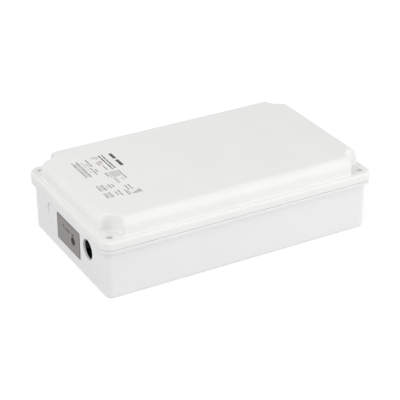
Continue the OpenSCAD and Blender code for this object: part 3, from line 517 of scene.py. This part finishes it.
def rounded_outline(inset):
    """A rounded rectangle, inset from the rim's edge"""
    x, y = HALF_L - inset, HALF_W - inset
    radius = RIM_CORNER_R - inset
    quarter = side_points(x, 0, y - radius)
    quarter += arc((x - radius, y - radius), radius, 0, math.pi / 2, CORNER_STEPS)
    quarter += [(x - radius, y)]
    quarter += [((x - radius) * (1 - i / SIDE_STEPS), y) for i in range(1, SIDE_STEPS + 1)]
    return all_quarters(quarter)


def scooped_outline(inset, scoop, fillet):
    """A rectangle with a round scoop about each screw and a fillet where the scoop meets the sides"""
    x, y = HALF_L - inset, HALF_W - inset
    reach = scoop + fillet
    side_y = SCREW_Y - math.sqrt(reach ** 2 - (x - fillet - SCREW_X) ** 2)
    side_x = SCREW_X - math.sqrt(reach ** 2 - (y - fillet - SCREW_Y) ** 2)
    first, last = (x - fillet, side_y), (side_x, y - fillet)
    turn_in = math.atan2(SCREW_Y - first[1], SCREW_X - first[0])
    turn_out = math.atan2(SCREW_Y - last[1], SCREW_X - last[0])
    quarter = side_points(x, 0, side_y)
    quarter += arc(first, fillet, 0, turn_in, FILLET_STEPS)
    quarter += arc((SCREW_X, SCREW_Y), scoop, turn_in - math.pi, turn_out - math.pi, NOTCH_STEPS)
    quarter += arc(last, fillet, turn_out, math.pi / 2, FILLET_STEPS)
    quarter += [(side_x, y)]
    quarter += [(side_x * (1 - i / SIDE_STEPS), y) for i in range(1, SIDE_STEPS + 1)]
    return all_quarters(quarter)


print("points in one ring:", len(rounded_outline(0)))

# %% Sizes of the lid
CASE_H = 59.0
RIM_TOP = 46.0
INK_T = 0.03
LID_TOP = CASE_H - INK_T
SHELF_W = 3.5
LEAN = math.radians(1)
EDGE_R = 7.0
NOTCH_R, NOTCH_FLARE, FLARE_H = 9.5, 0.2, 14.0
NOTCH_EDGE_R, NOTCH_FILLET = 1.5, 1.5
FLAT_INSET = SHELF_W + (CASE_H - RIM_TOP) * math.tan(LEAN) + EDGE_R * math.tan((math.pi / 2 - LEAN) / 2)


def scoop_at(z, skin=0.0):
    """Radius of the notch at a height, one skin inside the lid"""
    return NOTCH_R + skin + NOTCH_FLARE * max(z - RIM_TOP, 0) / FLARE_H


def notch_edge(z):
    """How much the rounded upper edge of the notch widens it"""
    rise = max(z - (LID_TOP - NOTCH_EDGE_R), 0)
    return NOTCH_EDGE_R - math.sqrt(max(NOTCH_EDGE_R ** 2 - rise ** 2, 0))


print("flat part of the top starts", round(FLAT_INSET, 2), "mm from the rim")

# %% Levels of the hollow and the seal groove, from the middle of the hollow outwards
INNER_STEPS, INNER_FILLET = 5, 0.8
GROOVE_DEPTH, GROOVE_FILLET = 1.6, 0.3
GROOVE_INSETS, GROOVE_SCOOPS = (4.5, 2.3), (8.1, 5.9)

levels = []


def add_level(outline, z):
    """One more ring of the lid at a height"""
    levels.append([Vector((x, y, z)) * MM for x, y in outline])


inner_r = EDGE_R - WALL
for step in range(INNER_STEPS + 1):
    a = math.pi / 2 + (LEAN - math.pi / 2) * step / INNER_STEPS
    z = LID_TOP - EDGE_R + inner_r * math.sin(a)
    add_level(scooped_outline(FLAT_INSET - inner_r * math.cos(a), scoop_at(z, WALL), INNER_FILLET), z)
inner_foot = SHELF_W + WALL / math.cos(LEAN)
for z in (RIM_TOP, JOINT_Z):
    add_level(scooped_outline(inner_foot, NOTCH_R + WALL, INNER_FILLET), z)
groove_top = JOINT_Z + GROOVE_DEPTH
up_and_down = ((JOINT_Z, groove_top), (groove_top, JOINT_Z))
for inset, scoop, heights in zip(GROOVE_INSETS, GROOVE_SCOOPS, up_and_down):
    for z in heights:
        add_level(scooped_outline(inset, scoop, GROOVE_FILLET), z)
print("levels of the hollow:", len(levels))

# %% Levels of the rim, the shelf and the plateau
SHADOW_GAP, SHADOW_DEPTH = 0.3, 1.2
RIM_LOWER_EDGE, RIM_LOWER_MIDDLE = 0.3, 0.09
RIM_EDGE_R, RIM_STEPS = 2.0, 12
SHELF_TILT = math.radians(76)
FOOT_R, FOOT_STEPS = 1.0, 6
EDGE_STEPS = 18
PAD_Z = RIM_TOP - RIM_EDGE_R * (1 - math.sin(SHELF_TILT))

gap_top = JOINT_Z + SHADOW_GAP
add_level(rounded_outline(SHADOW_DEPTH), JOINT_Z)
add_level(rounded_outline(SHADOW_DEPTH), gap_top)
add_level(rounded_outline(RIM_LOWER_EDGE), gap_top)
add_level(rounded_outline(RIM_LOWER_MIDDLE), gap_top + RIM_LOWER_MIDDLE)
add_level(rounded_outline(0), gap_top + RIM_LOWER_EDGE)
for step in range(RIM_STEPS + 1):
    a = SHELF_TILT * step / RIM_STEPS
    inset = RIM_EDGE_R * (1 - math.cos(a))
    add_level(rounded_outline(inset), RIM_TOP - RIM_EDGE_R * (1 - math.sin(a)))
for step in range(FOOT_STEPS + 1):
    a = SHELF_TILT * (1 - step / FOOT_STEPS)
    spread = FOOT_R * (1 - math.cos(a))
    z = PAD_Z + FOOT_R * (math.sin(SHELF_TILT) - math.sin(a))
    add_level(scooped_outline(SHELF_W - spread, NOTCH_R - spread, NOTCH_FILLET), z)
for step in range(EDGE_STEPS + 1):
    a = LEAN + (math.pi / 2 - LEAN) * step / EDGE_STEPS
    z = LID_TOP - EDGE_R + EDGE_R * math.sin(a)
    inset = FLAT_INSET - EDGE_R * math.cos(a)
    add_level(scooped_outline(inset, scoop_at(z) + notch_edge(z), NOTCH_FILLET), z)
print("levels in all:", len(levels))

# %% Draw the lid: one ring, extruded from level to level
start_clean()
bpy.ops.mesh.primitive_circle_add(vertices=len(levels[0]), radius=HALF_L * MM, fill_type="NOTHING")
lid_cover = bpy.context.object
lid_cover.name = "lid_cover"
edit(lid_cover)
bpy.ops.mesh.select_mode(type="EDGE")
shape = bmesh.from_edit_mesh(lid_cover.data)
ring_place = shape.verts.layers.int.new("ring_place")
for index, point in enumerate(shape.verts):
    point[ring_place] = index
    point.co = levels[0][index]
bmesh.update_edit_mesh(lid_cover.data)
bpy.ops.mesh.select_all(action="SELECT")
bpy.ops.mesh.edge_face_add()
pick_edges(lid_cover, lambda a, b: True)
for level in levels[1:]:
    bpy.ops.mesh.extrude_edges_move()
    shape = bmesh.from_edit_mesh(lid_cover.data)
    ring_place = shape.verts.layers.int["ring_place"]
    for point in shape.verts:
        if point.select:
            point.co = level[point[ring_place]]
    bmesh.update_edit_mesh(lid_cover.data)
bpy.ops.mesh.edge_face_add()
bpy.ops.mesh.select_all(action="SELECT")
bpy.ops.mesh.normals_make_consistent(inside=False)
start_clean()
print("lid_cover drawn:", len(lid_cover.data.polygons), "faces")

# %% Screw holes in the lid
SEAT_Z = 43.4
SHANK_HOLE_R, RECESS_R, MOUTH_R = 1.5, 2.4, 2.6
MOUTH_H, CUTTER_RISE = 0.2, 3


def screw_cutter(x, y):
    """A stepped cutter: shank hole, head recess and a small chamfer at the pad"""
    tool = add_rod("screw_hole", (x, y, JOINT_Z - SPARE), (x, y, SEAT_Z), SHANK_HOLE_R, 40)
    centre = (x * MM, y * MM, 0)
    edit(tool)
    pick_faces(tool, lambda middle, normal: normal.z > 0.9)
    last_radius = SHANK_HOLE_R
    recess_h = PAD_Z - MOUTH_H - SEAT_Z
    for radius, rise in ((RECESS_R, 0), (RECESS_R, recess_h), (MOUTH_R, MOUTH_H), (MOUTH_R, CUTTER_RISE)):
        push(z=rise)
        grow = radius / last_radius
        bpy.ops.transform.resize(value=(grow, grow, 1), center_override=centre)
        last_radius = radius
    start_clean()
    return tool


cutters = [screw_cutter(x, y) for x, y in LID_SCREWS]
carve(lid_cover, join(cutters, "screw_holes"))
finish_shading(lid_cover)
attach(lid_cover, "housing")
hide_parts("lid")
print("lid_cover:", len(lid_cover.data.polygons), "faces")

# %% [markdown]
# ## Lid screws
# Each screw is a pan head with a cross recess, sunk below the pad. One is modelled: a short rod whose
# upper edge is bevelled and whose underside is inset and pulled down as the shank. The cross is cut
# with a block whose four sides are pulled out. Then it is copied, because all four screws are alike.

# %% Lid screws
HEAD_R, HEAD_H, HEAD_ROUND = 2.1, 2.0, 0.88
SHANK_R, SHANK_L = 1.2, 18
TIP_L, TIP_SHARE = 1.5, 0.5
CROSS_HALF, CROSS_ARM, CROSS_DEPTH, CROSS_TAPER = 0.45, 0.95, 1.1, 0.55
HEAD_TOP = SEAT_Z + HEAD_H
SCREW_AXIS = (SCREW_X * MM, SCREW_Y * MM, 0)

screw = add_rod("lid_screws_turned", (SCREW_X, SCREW_Y, SEAT_Z), (SCREW_X, SCREW_Y, HEAD_TOP), HEAD_R, 40)
edit(screw)
pick_edges(screw, level_at(HEAD_TOP))
soften(HEAD_ROUND, 5)
pick_faces(screw, lambda middle, normal: normal.z < -0.9)
bpy.ops.mesh.inset(thickness=(HEAD_R - SHANK_R) * MM)
push(z=TIP_L - SHANK_L)
push(z=-TIP_L)
bpy.ops.transform.resize(value=(TIP_SHARE, TIP_SHARE, 1), center_override=SCREW_AXIS)
cross = add_block("cross", (SCREW_X - CROSS_HALF, SCREW_Y - CROSS_HALF, HEAD_TOP - CROSS_DEPTH),
                  (SCREW_X + CROSS_HALF, SCREW_Y + CROSS_HALF, HEAD_TOP + SPARE))
edit(cross)
pick_faces(cross, lambda middle, normal: abs(normal.z) < 0.1)
bpy.ops.mesh.extrude_faces_move(TRANSFORM_OT_shrink_fatten={"value": CROSS_ARM * MM})
pick_edges(cross, level_at(HEAD_TOP - CROSS_DEPTH))
bpy.ops.transform.resize(value=(CROSS_TAPER, CROSS_TAPER, 1), center_override=SCREW_AXIS)
carve(screw, cross)
screws = [screw]
for sx, sy in CORNERS[1:]:
    take_up(screw)
    bpy.ops.object.duplicate()
    copy = bpy.context.object
    copy.location = (SCREW_X * (sx - 1) * MM, SCREW_Y * (sy - 1) * MM, 0)
    bpy.ops.object.transform_apply(location=True, rotation=True, scale=True)
    screws.append(copy)
screw = join(screws, "lid_screws_turned")
finish_shading(screw)
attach(screw, "housing")
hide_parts("lid_screws")
print("lid_screws_turned:", len(screw.data.polygons), "faces")

# %% [markdown]
# ## End label and test button
# The label is a film on the cable end, with round corners and a hole for the button. The button is one
# turned piece: a cap that lies flush with the label, a collar that holds it behind the wall and a stem
# that works the switch. A lathe would turn it from its outline. Here the collar comes first, and the cap
# and the stem are pulled out of its two faces, so that all three share one axis.

# %% Label film
LABEL_Y, LABEL_Z = 1, 20
LABEL_W, LABEL_H, LABEL_T = 38, 21, 0.4
LABEL_CORNER_R, LABEL_EDGE = 0.8, 0.08
LABEL_X = -WALL_X - LABEL_T

label = add_block("label_film", (LABEL_X, LABEL_Y - LABEL_W / 2, LABEL_Z - LABEL_H / 2),
                  (-WALL_X, LABEL_Y + LABEL_W / 2, LABEL_Z + LABEL_H / 2))
edit(label)
pick_edges(label, lambda a, b: abs(a.y - b.y) < NEAR and abs(a.z - b.z) < NEAR)
soften(LABEL_CORNER_R, 5)
pick_edges(label, lambda a, b: abs(a.x - LABEL_X) < NEAR and abs(b.x - LABEL_X) < NEAR)
soften(LABEL_EDGE, 2)
hole_from, hole_to = LABEL_X - SPARE, -WALL_X + SPARE
carve(label, add_rod("hole", (hole_from, BUTTON_Y, BUTTON_Z), (hole_to, BUTTON_Y, BUTTON_Z), BUTTON_HOLE_R))
finish_shading(label)
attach(label, "housing")
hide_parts("end_label")
print("label_film:", len(label.data.polygons), "faces")

# %% Test button
COLLAR_X = -INNER_X + 0.1
COLLAR_R, COLLAR_T = 4.5, 1.2
CAP_R, CAP_EDGE = 3.0, 0.4
STEM_R, STEM_L = 1.5, 4.8
DISH_STEP, DISH_FALLS = 0.9, (0.12, 0.05)


def on_cap_edge(point):
    """Whether a point, in millimetres, lies on the outer edge of the cap's face"""
    from_axis = math.hypot(point.y - BUTTON_Y, point.z - BUTTON_Z)
    return abs(point.x - LABEL_X) < NEAR and from_axis > CAP_R - 10 * NEAR


collar_end = (COLLAR_X + COLLAR_T, BUTTON_Y, BUTTON_Z)
button = add_rod("button_cap", (COLLAR_X, BUTTON_Y, BUTTON_Z), collar_end, COLLAR_R)
edit(button)
pick_faces(button, lambda middle, normal: normal.x < -0.9)
bpy.ops.mesh.inset(thickness=(COLLAR_R - CAP_R) * MM)
push(x=LABEL_X - COLLAR_X)
for fall in DISH_FALLS:
    bpy.ops.mesh.inset(thickness=DISH_STEP * MM)
    bpy.ops.transform.translate(value=(fall * MM, 0, 0))
pick_faces(button, lambda middle, normal: normal.x > 0.9)
bpy.ops.mesh.inset(thickness=(COLLAR_R - STEM_R) * MM)
push(x=STEM_L)
pick_edges(button, lambda a, b: on_cap_edge(a) and on_cap_edge(b))
soften(CAP_EDGE, 5)
finish_shading(button)
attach(button, "test_button")
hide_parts("test_button")
print("button_cap:", len(button.data.polygons), "faces")

# %% [markdown]
# ## Print
# The lid carries small print in thin lines that run across the box, a heading and a pale grey table. It
# says nothing here: each line is a row of plain bars, like set type seen from afar. Ink has almost no
# thickness, so each bar is a plane with rounded corners, pulled up by a few hundredths of a millimetre.

# %% Ink bars
WORD_L, WORD_GAP = 5.0, 0.5
WORD_SHARES = (4, 7, 3, 6, 2, 5)
BAR_ROUND = 0.25


def ink_bar(x0, x1, y0, y1):
    """One flat bar of ink on the lid"""
    start_clean()
    middle = ((x0 + x1) / 2 * MM, (y0 + y1) / 2 * MM, LID_TOP * MM)
    bpy.ops.mesh.primitive_plane_add(size=1, location=middle)
    bar = bpy.context.object
    bar.scale = ((x1 - x0) * MM, (y1 - y0) * MM, 1)
    bpy.ops.object.transform_apply(location=True, rotation=True, scale=True)
    bpy.ops.object.mode_set(mode="EDIT")
    bpy.ops.mesh.select_all(action="SELECT")
    bpy.ops.mesh.bevel(offset=BAR_ROUND * min(x1 - x0, y1 - y0) * MM, segments=2, affect="VERTICES")
    bpy.ops.mesh.select_all(action="SELECT")
    push(z=INK_T)
    bpy.ops.mesh.select_all(action="SELECT")
    bpy.ops.mesh.normals_make_consistent(inside=False)
    start_clean()
    return bar


def ink_line(x, y_top, y_end, height):
    """A line of bars from y_top down to y_end, broken into words of uneven length"""
    count = max(1, round((y_top - y_end) / WORD_L))
    shares = [WORD_SHARES[(round(-x) + i) % len(WORD_SHARES)] for i in range(count)]
    room = y_top - y_end - WORD_GAP * (count - 1)
    bars = []
    y = y_top
    for share in shares:
        length = room * share / sum(shares)
        bars.append(ink_bar(x - height / 2, x + height / 2, y - length, y))
        y -= length + WORD_GAP
    return bars


def ink_lines(lines, height):
    """The bars of several lines of one height"""
    return [bar for line in lines for bar in ink_line(*line, height)]


def ink_piece(bars, name):
    """Bars of one ink as a single piece on the housing"""
    piece = join(bars, name)
    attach(piece, "housing")
    print(name, len(piece.data.polygons), "faces")
    return piece


# %% Fine print, each line as its place along the box and its two ends across it
FINE_H = 0.85
dark_lines = [
    (-88.4, 32.4, 6.2), (-84.6, 32.6, 6.5), (-82.0, 18.2, 17.0), (-82.0, 14.0, 12.7), (-79.6, 19.2, 7.6),
    (-77.4, 32.8, 20.6), (-77.4, 15.8, 11.3), (-73.9, 7.2, 1.0), (-70.0, 18.6, 10.8), (-63.6, 7.4, -7.4),
    (-88.2, -8.4, -17.0), (-84.2, -8.4, -17.6), (-79.7, -9.6, -16.2), (-77.4, -10.4, -15.4),
    (-88.3, -20.8, -28.4), (-84.1, -20.8, -29.0), (-79.9, -21.6, -27.6), (-77.4, -20.6, -29.4),
    (-72.9, -22.0, -30.8), (-69.9, -16.6, -24.0), (-67.3, -16.0, -24.2),
]
pale_lines = [
    (-87.1, 30.4, 6.4), (-85.8, 31.6, 6.8), (-82.0, 30.0, 20.5), (-79.6, 27.4, 20.8),
    (-72.3, 34.4, 31.4), (-70.9, 34.2, 29.6), (-69.5, 34.4, 29.0), (-68.2, 33.6, 30.2), (-72.5, 6.8, -1.6),
    (-86.9, -8.8, -17.2), (-85.5, -8.6, -16.8), (-81.9, -11.0, -16.0), (-66.3, -4.2, -8.6),
    (-86.9, -21.2, -28.6), (-85.5, -21.0, -28.8), (-71.5, -23.6, -30.6),
]
FOOTER_X, FOOTER_STEP, FOOTER_Y = -69.1, 1.45, -30.6
FOOTER_LINES, FOOTER_L, FOOTER_GROWTH = 5, 2, 0.75
dark_lines += [(FOOTER_X + FOOTER_STEP * i, FOOTER_Y + FOOTER_L + FOOTER_GROWTH * i, FOOTER_Y)
               for i in range(FOOTER_LINES)]
fine_print = ink_piece(ink_lines(dark_lines, FINE_H), "lid_fine_print")
pale_print = ink_piece(ink_lines(pale_lines, FINE_H), "lid_pale_print")

# %% Bold lines, heading, coloured lines and table
BOLD_H = 1.0
HEADING_X = (-58.5, -56.0)
bold_bars = ink_lines([(-63.7, 34.4, 10.8), (-66.1, 34.2, 10.2)], BOLD_H)
bold_bars += [ink_bar(*HEADING_X, 24.6, 33.6), ink_bar(*HEADING_X, 12.4, 22.4)]
bold_print = ink_piece(bold_bars, "lid_bold_print")
red_bars = ink_lines([(-72.1, 25.6, 19.2), (-70.6, 23.6, 20.2), (-69.0, 23.8, 21.2)], FINE_H)
red_print = ink_piece(red_bars + [ink_bar(-71.1, -67.9, 24.4, 25.8)], "lid_red_print")
table_bars = [ink_bar(-71.5, -64.7, -1.8, 7.2), ink_bar(-72.3, -70.1, -11.4, -2.3)]
table_print = ink_piece(table_bars, "lid_table_print")

# %% [markdown]
# The label has a thin darker frame line and a few small marks on one level above the button. They
# are made like the bars on the lid, standing on the label's face.

# %% Label marks
LINE_W, LINE_INSET = 0.3, 0.4
MARK_ROUND, MARK_H = 0.3, 0.5


def label_bar(y0, y1, z0, z1):
    """One flat bar of ink on the label"""
    bar = add_block("label_bar", (LABEL_X - INK_T, y0, z0), (LABEL_X, y1, z1))
    edit(bar)
    pick_edges(bar, lambda a, b: abs(a.y - b.y) < NEAR / 10 and abs(a.z - b.z) < NEAR / 10)
    soften(MARK_ROUND * min(y1 - y0, z1 - z0), 2)
    start_clean()
    return bar


low_y, high_y = LABEL_Y - LABEL_W / 2 + LINE_INSET, LABEL_Y + LABEL_W / 2 - LINE_INSET
low_z, high_z = LABEL_Z - LABEL_H / 2 + LINE_INSET, LABEL_Z + LABEL_H / 2 - LINE_INSET
label_frame = ink_piece([
    label_bar(low_y, high_y, low_z, low_z + LINE_W), label_bar(low_y, high_y, high_z - LINE_W, high_z),
    label_bar(low_y, low_y + LINE_W, low_z + LINE_W, high_z - LINE_W),
    label_bar(high_y - LINE_W, high_y, low_z + LINE_W, high_z - LINE_W),
], "label_frame_line")
label_marks = ink_piece([
    label_bar(7.7, 10.0, 23.4, 25.3), label_bar(2.5, 6.2, 23.0, 24.4), label_bar(-1.4, 2.2, 22.7, 24.6),
] + [label_bar(-8.8, -4.6, z, z + MARK_H) for z in (23.1, 23.8, 24.5)], "label_marks")

# %% [markdown]
# ## Finishes
# Every finish is a small node tree on Object coordinates: a cloudy tint that runs between two close
# colours, a roughness that wanders a little, and a fine bump for the grain of the mould, the weave of
# the tape or the strands of a winding. What is the same all over is set on the shader itself. The white
# mouldings have a weak, wide reflection, as textured plastic has, and in the inks the two tones lie
# further apart, because print is uneven.

# %% A finish with tint, roughness and grain
def make_finish(name, tones, cloud_mm, rough, grain_mm, grain_depth_mm, metallic=0.0, stretch=(1, 1, 1)):
    """A procedural finish: two tones in clouds, a range of roughness, and a fine grain"""
    finish = bpy.data.materials.new(name)
    finish.use_nodes = True
    tree = finish.node_tree
    shader = tree.nodes["Principled BSDF"]
    shader.inputs["Metallic"].default_value = metallic
    place = tree.nodes.new("ShaderNodeTexCoord")
    drawn_out = tree.nodes.new("ShaderNodeMapping")
    drawn_out.inputs["Scale"].default_value = stretch
    tree.links.new(place.outputs["Object"], drawn_out.inputs["Vector"])

    cloud = tree.nodes.new("ShaderNodeTexNoise")
    cloud.inputs["Scale"].default_value = 1 / (cloud_mm * MM)
    cloud.inputs["Detail"].default_value = 4
    tree.links.new(drawn_out.outputs[0], cloud.inputs["Vector"])
    tint = tree.nodes.new("ShaderNodeValToRGB")
    tint.color_ramp.elements[0].position = 0.3
    tint.color_ramp.elements[1].position = 0.7
    tint.color_ramp.elements[0].color = (*tones[0], 1)
    tint.color_ramp.elements[1].color = (*tones[1], 1)
    tree.links.new(cloud.outputs["Fac"], tint.inputs["Fac"])
    tree.links.new(tint.outputs["Color"], shader.inputs["Base Color"])

    sheen = tree.nodes.new("ShaderNodeMapRange")
    sheen.inputs["To Min"].default_value = rough[0]
    sheen.inputs["To Max"].default_value = rough[1]
    tree.links.new(cloud.outputs["Fac"], sheen.inputs["Value"])
    tree.links.new(sheen.outputs[0], shader.inputs["Roughness"])

    grain = tree.nodes.new("ShaderNodeTexNoise")
    grain.inputs["Scale"].default_value = 1 / (grain_mm * MM)
    grain.inputs["Detail"].default_value = 2
    tree.links.new(drawn_out.outputs[0], grain.inputs["Vector"])
    bump = tree.nodes.new("ShaderNodeBump")
    bump.inputs["Strength"].default_value = 0.5
    bump.inputs["Distance"].default_value = grain_depth_mm * MM
    tree.links.new(grain.outputs["Fac"], bump.inputs["Height"])
    tree.links.new(bump.outputs["Normal"], shader.inputs["Normal"])
    return finish


def shader_of(finish):
    """The shader whose sockets hold what is the same all over"""
    return finish.node_tree.nodes["Principled BSDF"]


def dress(piece, finish):
    """Give a piece this finish alone"""
    piece.data.materials.clear()
    piece.data.materials.append(finish)


# %% Outer finishes: the two white mouldings, the screws, the label and the button
MATT_PLASTIC, MATT_BUTTON = 0.25, 0.2

base_tones = ((0.785, 0.785, 0.785), (0.805, 0.805, 0.805))
base_white = make_finish("base_white", base_tones, 40, (0.52, 0.6), 0.35, 0.02)
lid_tones = ((0.8, 0.8, 0.785), (0.82, 0.82, 0.805))
lid_white = make_finish("lid_white", lid_tones, 40, (0.52, 0.6), 0.35, 0.02)
for plastic in (base_white, lid_white):
    shader_of(plastic).inputs["Specular IOR Level"].default_value = MATT_PLASTIC
dress(base_shell, base_white)
dress(lid_cover, lid_white)
zinc_tones = ((0.7, 0.7, 0.69), (0.82, 0.82, 0.8))
screw_zinc = make_finish("screw_zinc", zinc_tones, 1.5, (0.3, 0.45), 0.2, 0.01, metallic=1.0)
dress(screw, screw_zinc)
label_tones = ((0.211, 0.2, 0.195), (0.24, 0.229, 0.224))
label_grey = make_finish("label_grey", label_tones, 6, (0.4, 0.55), 0.15, 0.005)
dress(label, label_grey)
button_tones = ((0.008, 0.008, 0.008), (0.014, 0.014, 0.013))
button_black = make_finish("button_black", button_tones, 3, (0.45, 0.6), 0.2, 0.01)
shader_of(button_black).inputs["Specular IOR Level"].default_value = MATT_BUTTON
dress(button, button_black)
print("finished:", [piece.name for piece in (base_shell, lid_cover, screw, label, button)])


# %% Inks
def make_ink(name, tones, cloud_mm=2.5):
    """A dull ink, printed a little unevenly"""
    return make_finish(name, tones, cloud_mm, (0.5, 0.6), 0.3, 0.005)


label_ink = make_ink("label_ink", ((0.05, 0.047, 0.046), (0.09, 0.085, 0.083)), 1.0)
dress(fine_print, make_ink("ink_dark", ((0.14, 0.14, 0.14), (0.36, 0.36, 0.35))))
dress(pale_print, make_ink("ink_grey", ((0.42, 0.42, 0.42), (0.6, 0.6, 0.59))))
dress(bold_print, make_ink("ink_black", ((0.025, 0.025, 0.025), (0.08, 0.08, 0.08))))
dress(red_print, make_ink("ink_red", ((0.34, 0.28, 0.28), (0.5, 0.41, 0.41))))
dress(table_print, make_ink("ink_pale", ((0.54, 0.54, 0.53), (0.6, 0.6, 0.59)), 1.2))
dress(label_frame, label_ink)
dress(label_marks, label_ink)
print("inked:", [piece.name for piece in (fine_print, pale_print, bold_print, red_print, table_print)])

# %% [markdown]
# The pieces inside keep their solids from the frame, because their shapes are right. Each gets the
# finish of its material slot: enamelled copper with fine strands, laminate with a faint weave, shrunk
# sleeves with a wandering gloss, bright tinned metal, sintered ferrite.

# %% Finishes inside the box
INNER_FINISHES = {
    "seal_rubber": (((0.1, 0.1, 0.1), (0.14, 0.14, 0.14)), 3, (0.7, 0.85), 0.4, 0.05),
    "screw_steel": (((0.42, 0.42, 0.41), (0.6, 0.6, 0.58)), 1.5, (0.25, 0.4), 0.2, 0.01, 1.0),
    "black_resin": (((0.016, 0.016, 0.016), (0.028, 0.028, 0.027)), 2, (0.45, 0.6), 0.15, 0.02),
    "board_laminate": (((0.014, 0.15, 0.055), (0.025, 0.21, 0.085)), 1.2, (0.25, 0.4), 0.3, 0.01, 0.0,
                       (6, 1, 1)),
    "grey_insulation": (((0.27, 0.27, 0.27), (0.33, 0.33, 0.33)), 4, (0.45, 0.6), 0.5, 0.01),
    "terminal_plastic": (((0.04, 0.26, 0.1), (0.06, 0.33, 0.14)), 4, (0.4, 0.5), 0.3, 0.02),
    "fuse_glass": (((0.85, 0.92, 0.92), (0.93, 0.97, 0.97)), 5, (0.03, 0.08), 1.0, 0.002),
    "tinned_metal": (((0.6, 0.6, 0.58), (0.75, 0.75, 0.73)), 2, (0.2, 0.35), 0.3, 0.01, 1.0),
    "ferrite": (((0.045, 0.045, 0.045), (0.075, 0.075, 0.073)), 1.5, (0.55, 0.75), 0.2, 0.04),
    "copper_wire": (((0.5, 0.2, 0.08), (0.68, 0.32, 0.14)), 1.0, (0.25, 0.4), 0.6, 0.15, 1.0, (1, 1, 0.1)),
    "yellow_resin": (((0.68, 0.44, 0.05), (0.78, 0.53, 0.07)), 5, (0.3, 0.45), 0.4, 0.02),
    "capacitor_sleeve": (((0.022, 0.038, 0.045), (0.035, 0.055, 0.065)), 4, (0.25, 0.4), 0.8, 0.02),
    "bobbin_plastic": (((0.1, 0.06, 0.035), (0.14, 0.08, 0.045)), 4, (0.5, 0.6), 0.3, 0.02),
    "winding_tape": (((0.68, 0.53, 0.08), (0.8, 0.65, 0.12)), 3, (0.3, 0.45), 0.5, 0.03, 0.0, (4, 1, 1)),
    "heatsink_aluminium": (((0.62, 0.62, 0.62), (0.76, 0.76, 0.76)), 1.0, (0.3, 0.45), 0.3, 0.02, 1.0,
                           (1, 1, 0.05)),
    "connector_plastic": (((0.76, 0.73, 0.64), (0.82, 0.79, 0.7)), 4, (0.4, 0.5), 0.3, 0.02),
    "cell_can": (((0.17, 0.31, 0.5), (0.22, 0.38, 0.58)), 6, (0.3, 0.4), 0.6, 0.01),
    "battery_sleeve": (((0.025, 0.085, 0.35), (0.035, 0.12, 0.44)), 6, (0.22, 0.35), 1.2, 0.04),
    "bracket_plastic": (((0.77, 0.77, 0.77), (0.82, 0.82, 0.82)), 6, (0.45, 0.55), 0.3, 0.02),
    "red_insulation": (((0.48, 0.015, 0.015), (0.58, 0.03, 0.03)), 4, (0.4, 0.55), 0.5, 0.01),
    "black_insulation": (((0.016, 0.016, 0.016), (0.026, 0.026, 0.026)), 4, (0.4, 0.55), 0.5, 0.01),
}
inner_finishes = {slot: make_finish(slot + "_finish", *values) for slot, values in INNER_FINISHES.items()}
shader_of(inner_finishes["fuse_glass"]).inputs["Transmission Weight"].default_value = 1.0
REPLACED = ("base", "lid", "lid_screws", "end_label", "test_button")
for part in frame["record"]["subparts"]:
    if part["node"] not in REPLACED:
        dress(frame["nodes"][part["node"]], inner_finishes[part["material_slot"]])
# The sleeves take the dark rubber finish as painted shade inside the cable hole
dress(shade_sleeve, inner_finishes["seal_rubber"])
print("inner finishes:", len(inner_finishes))
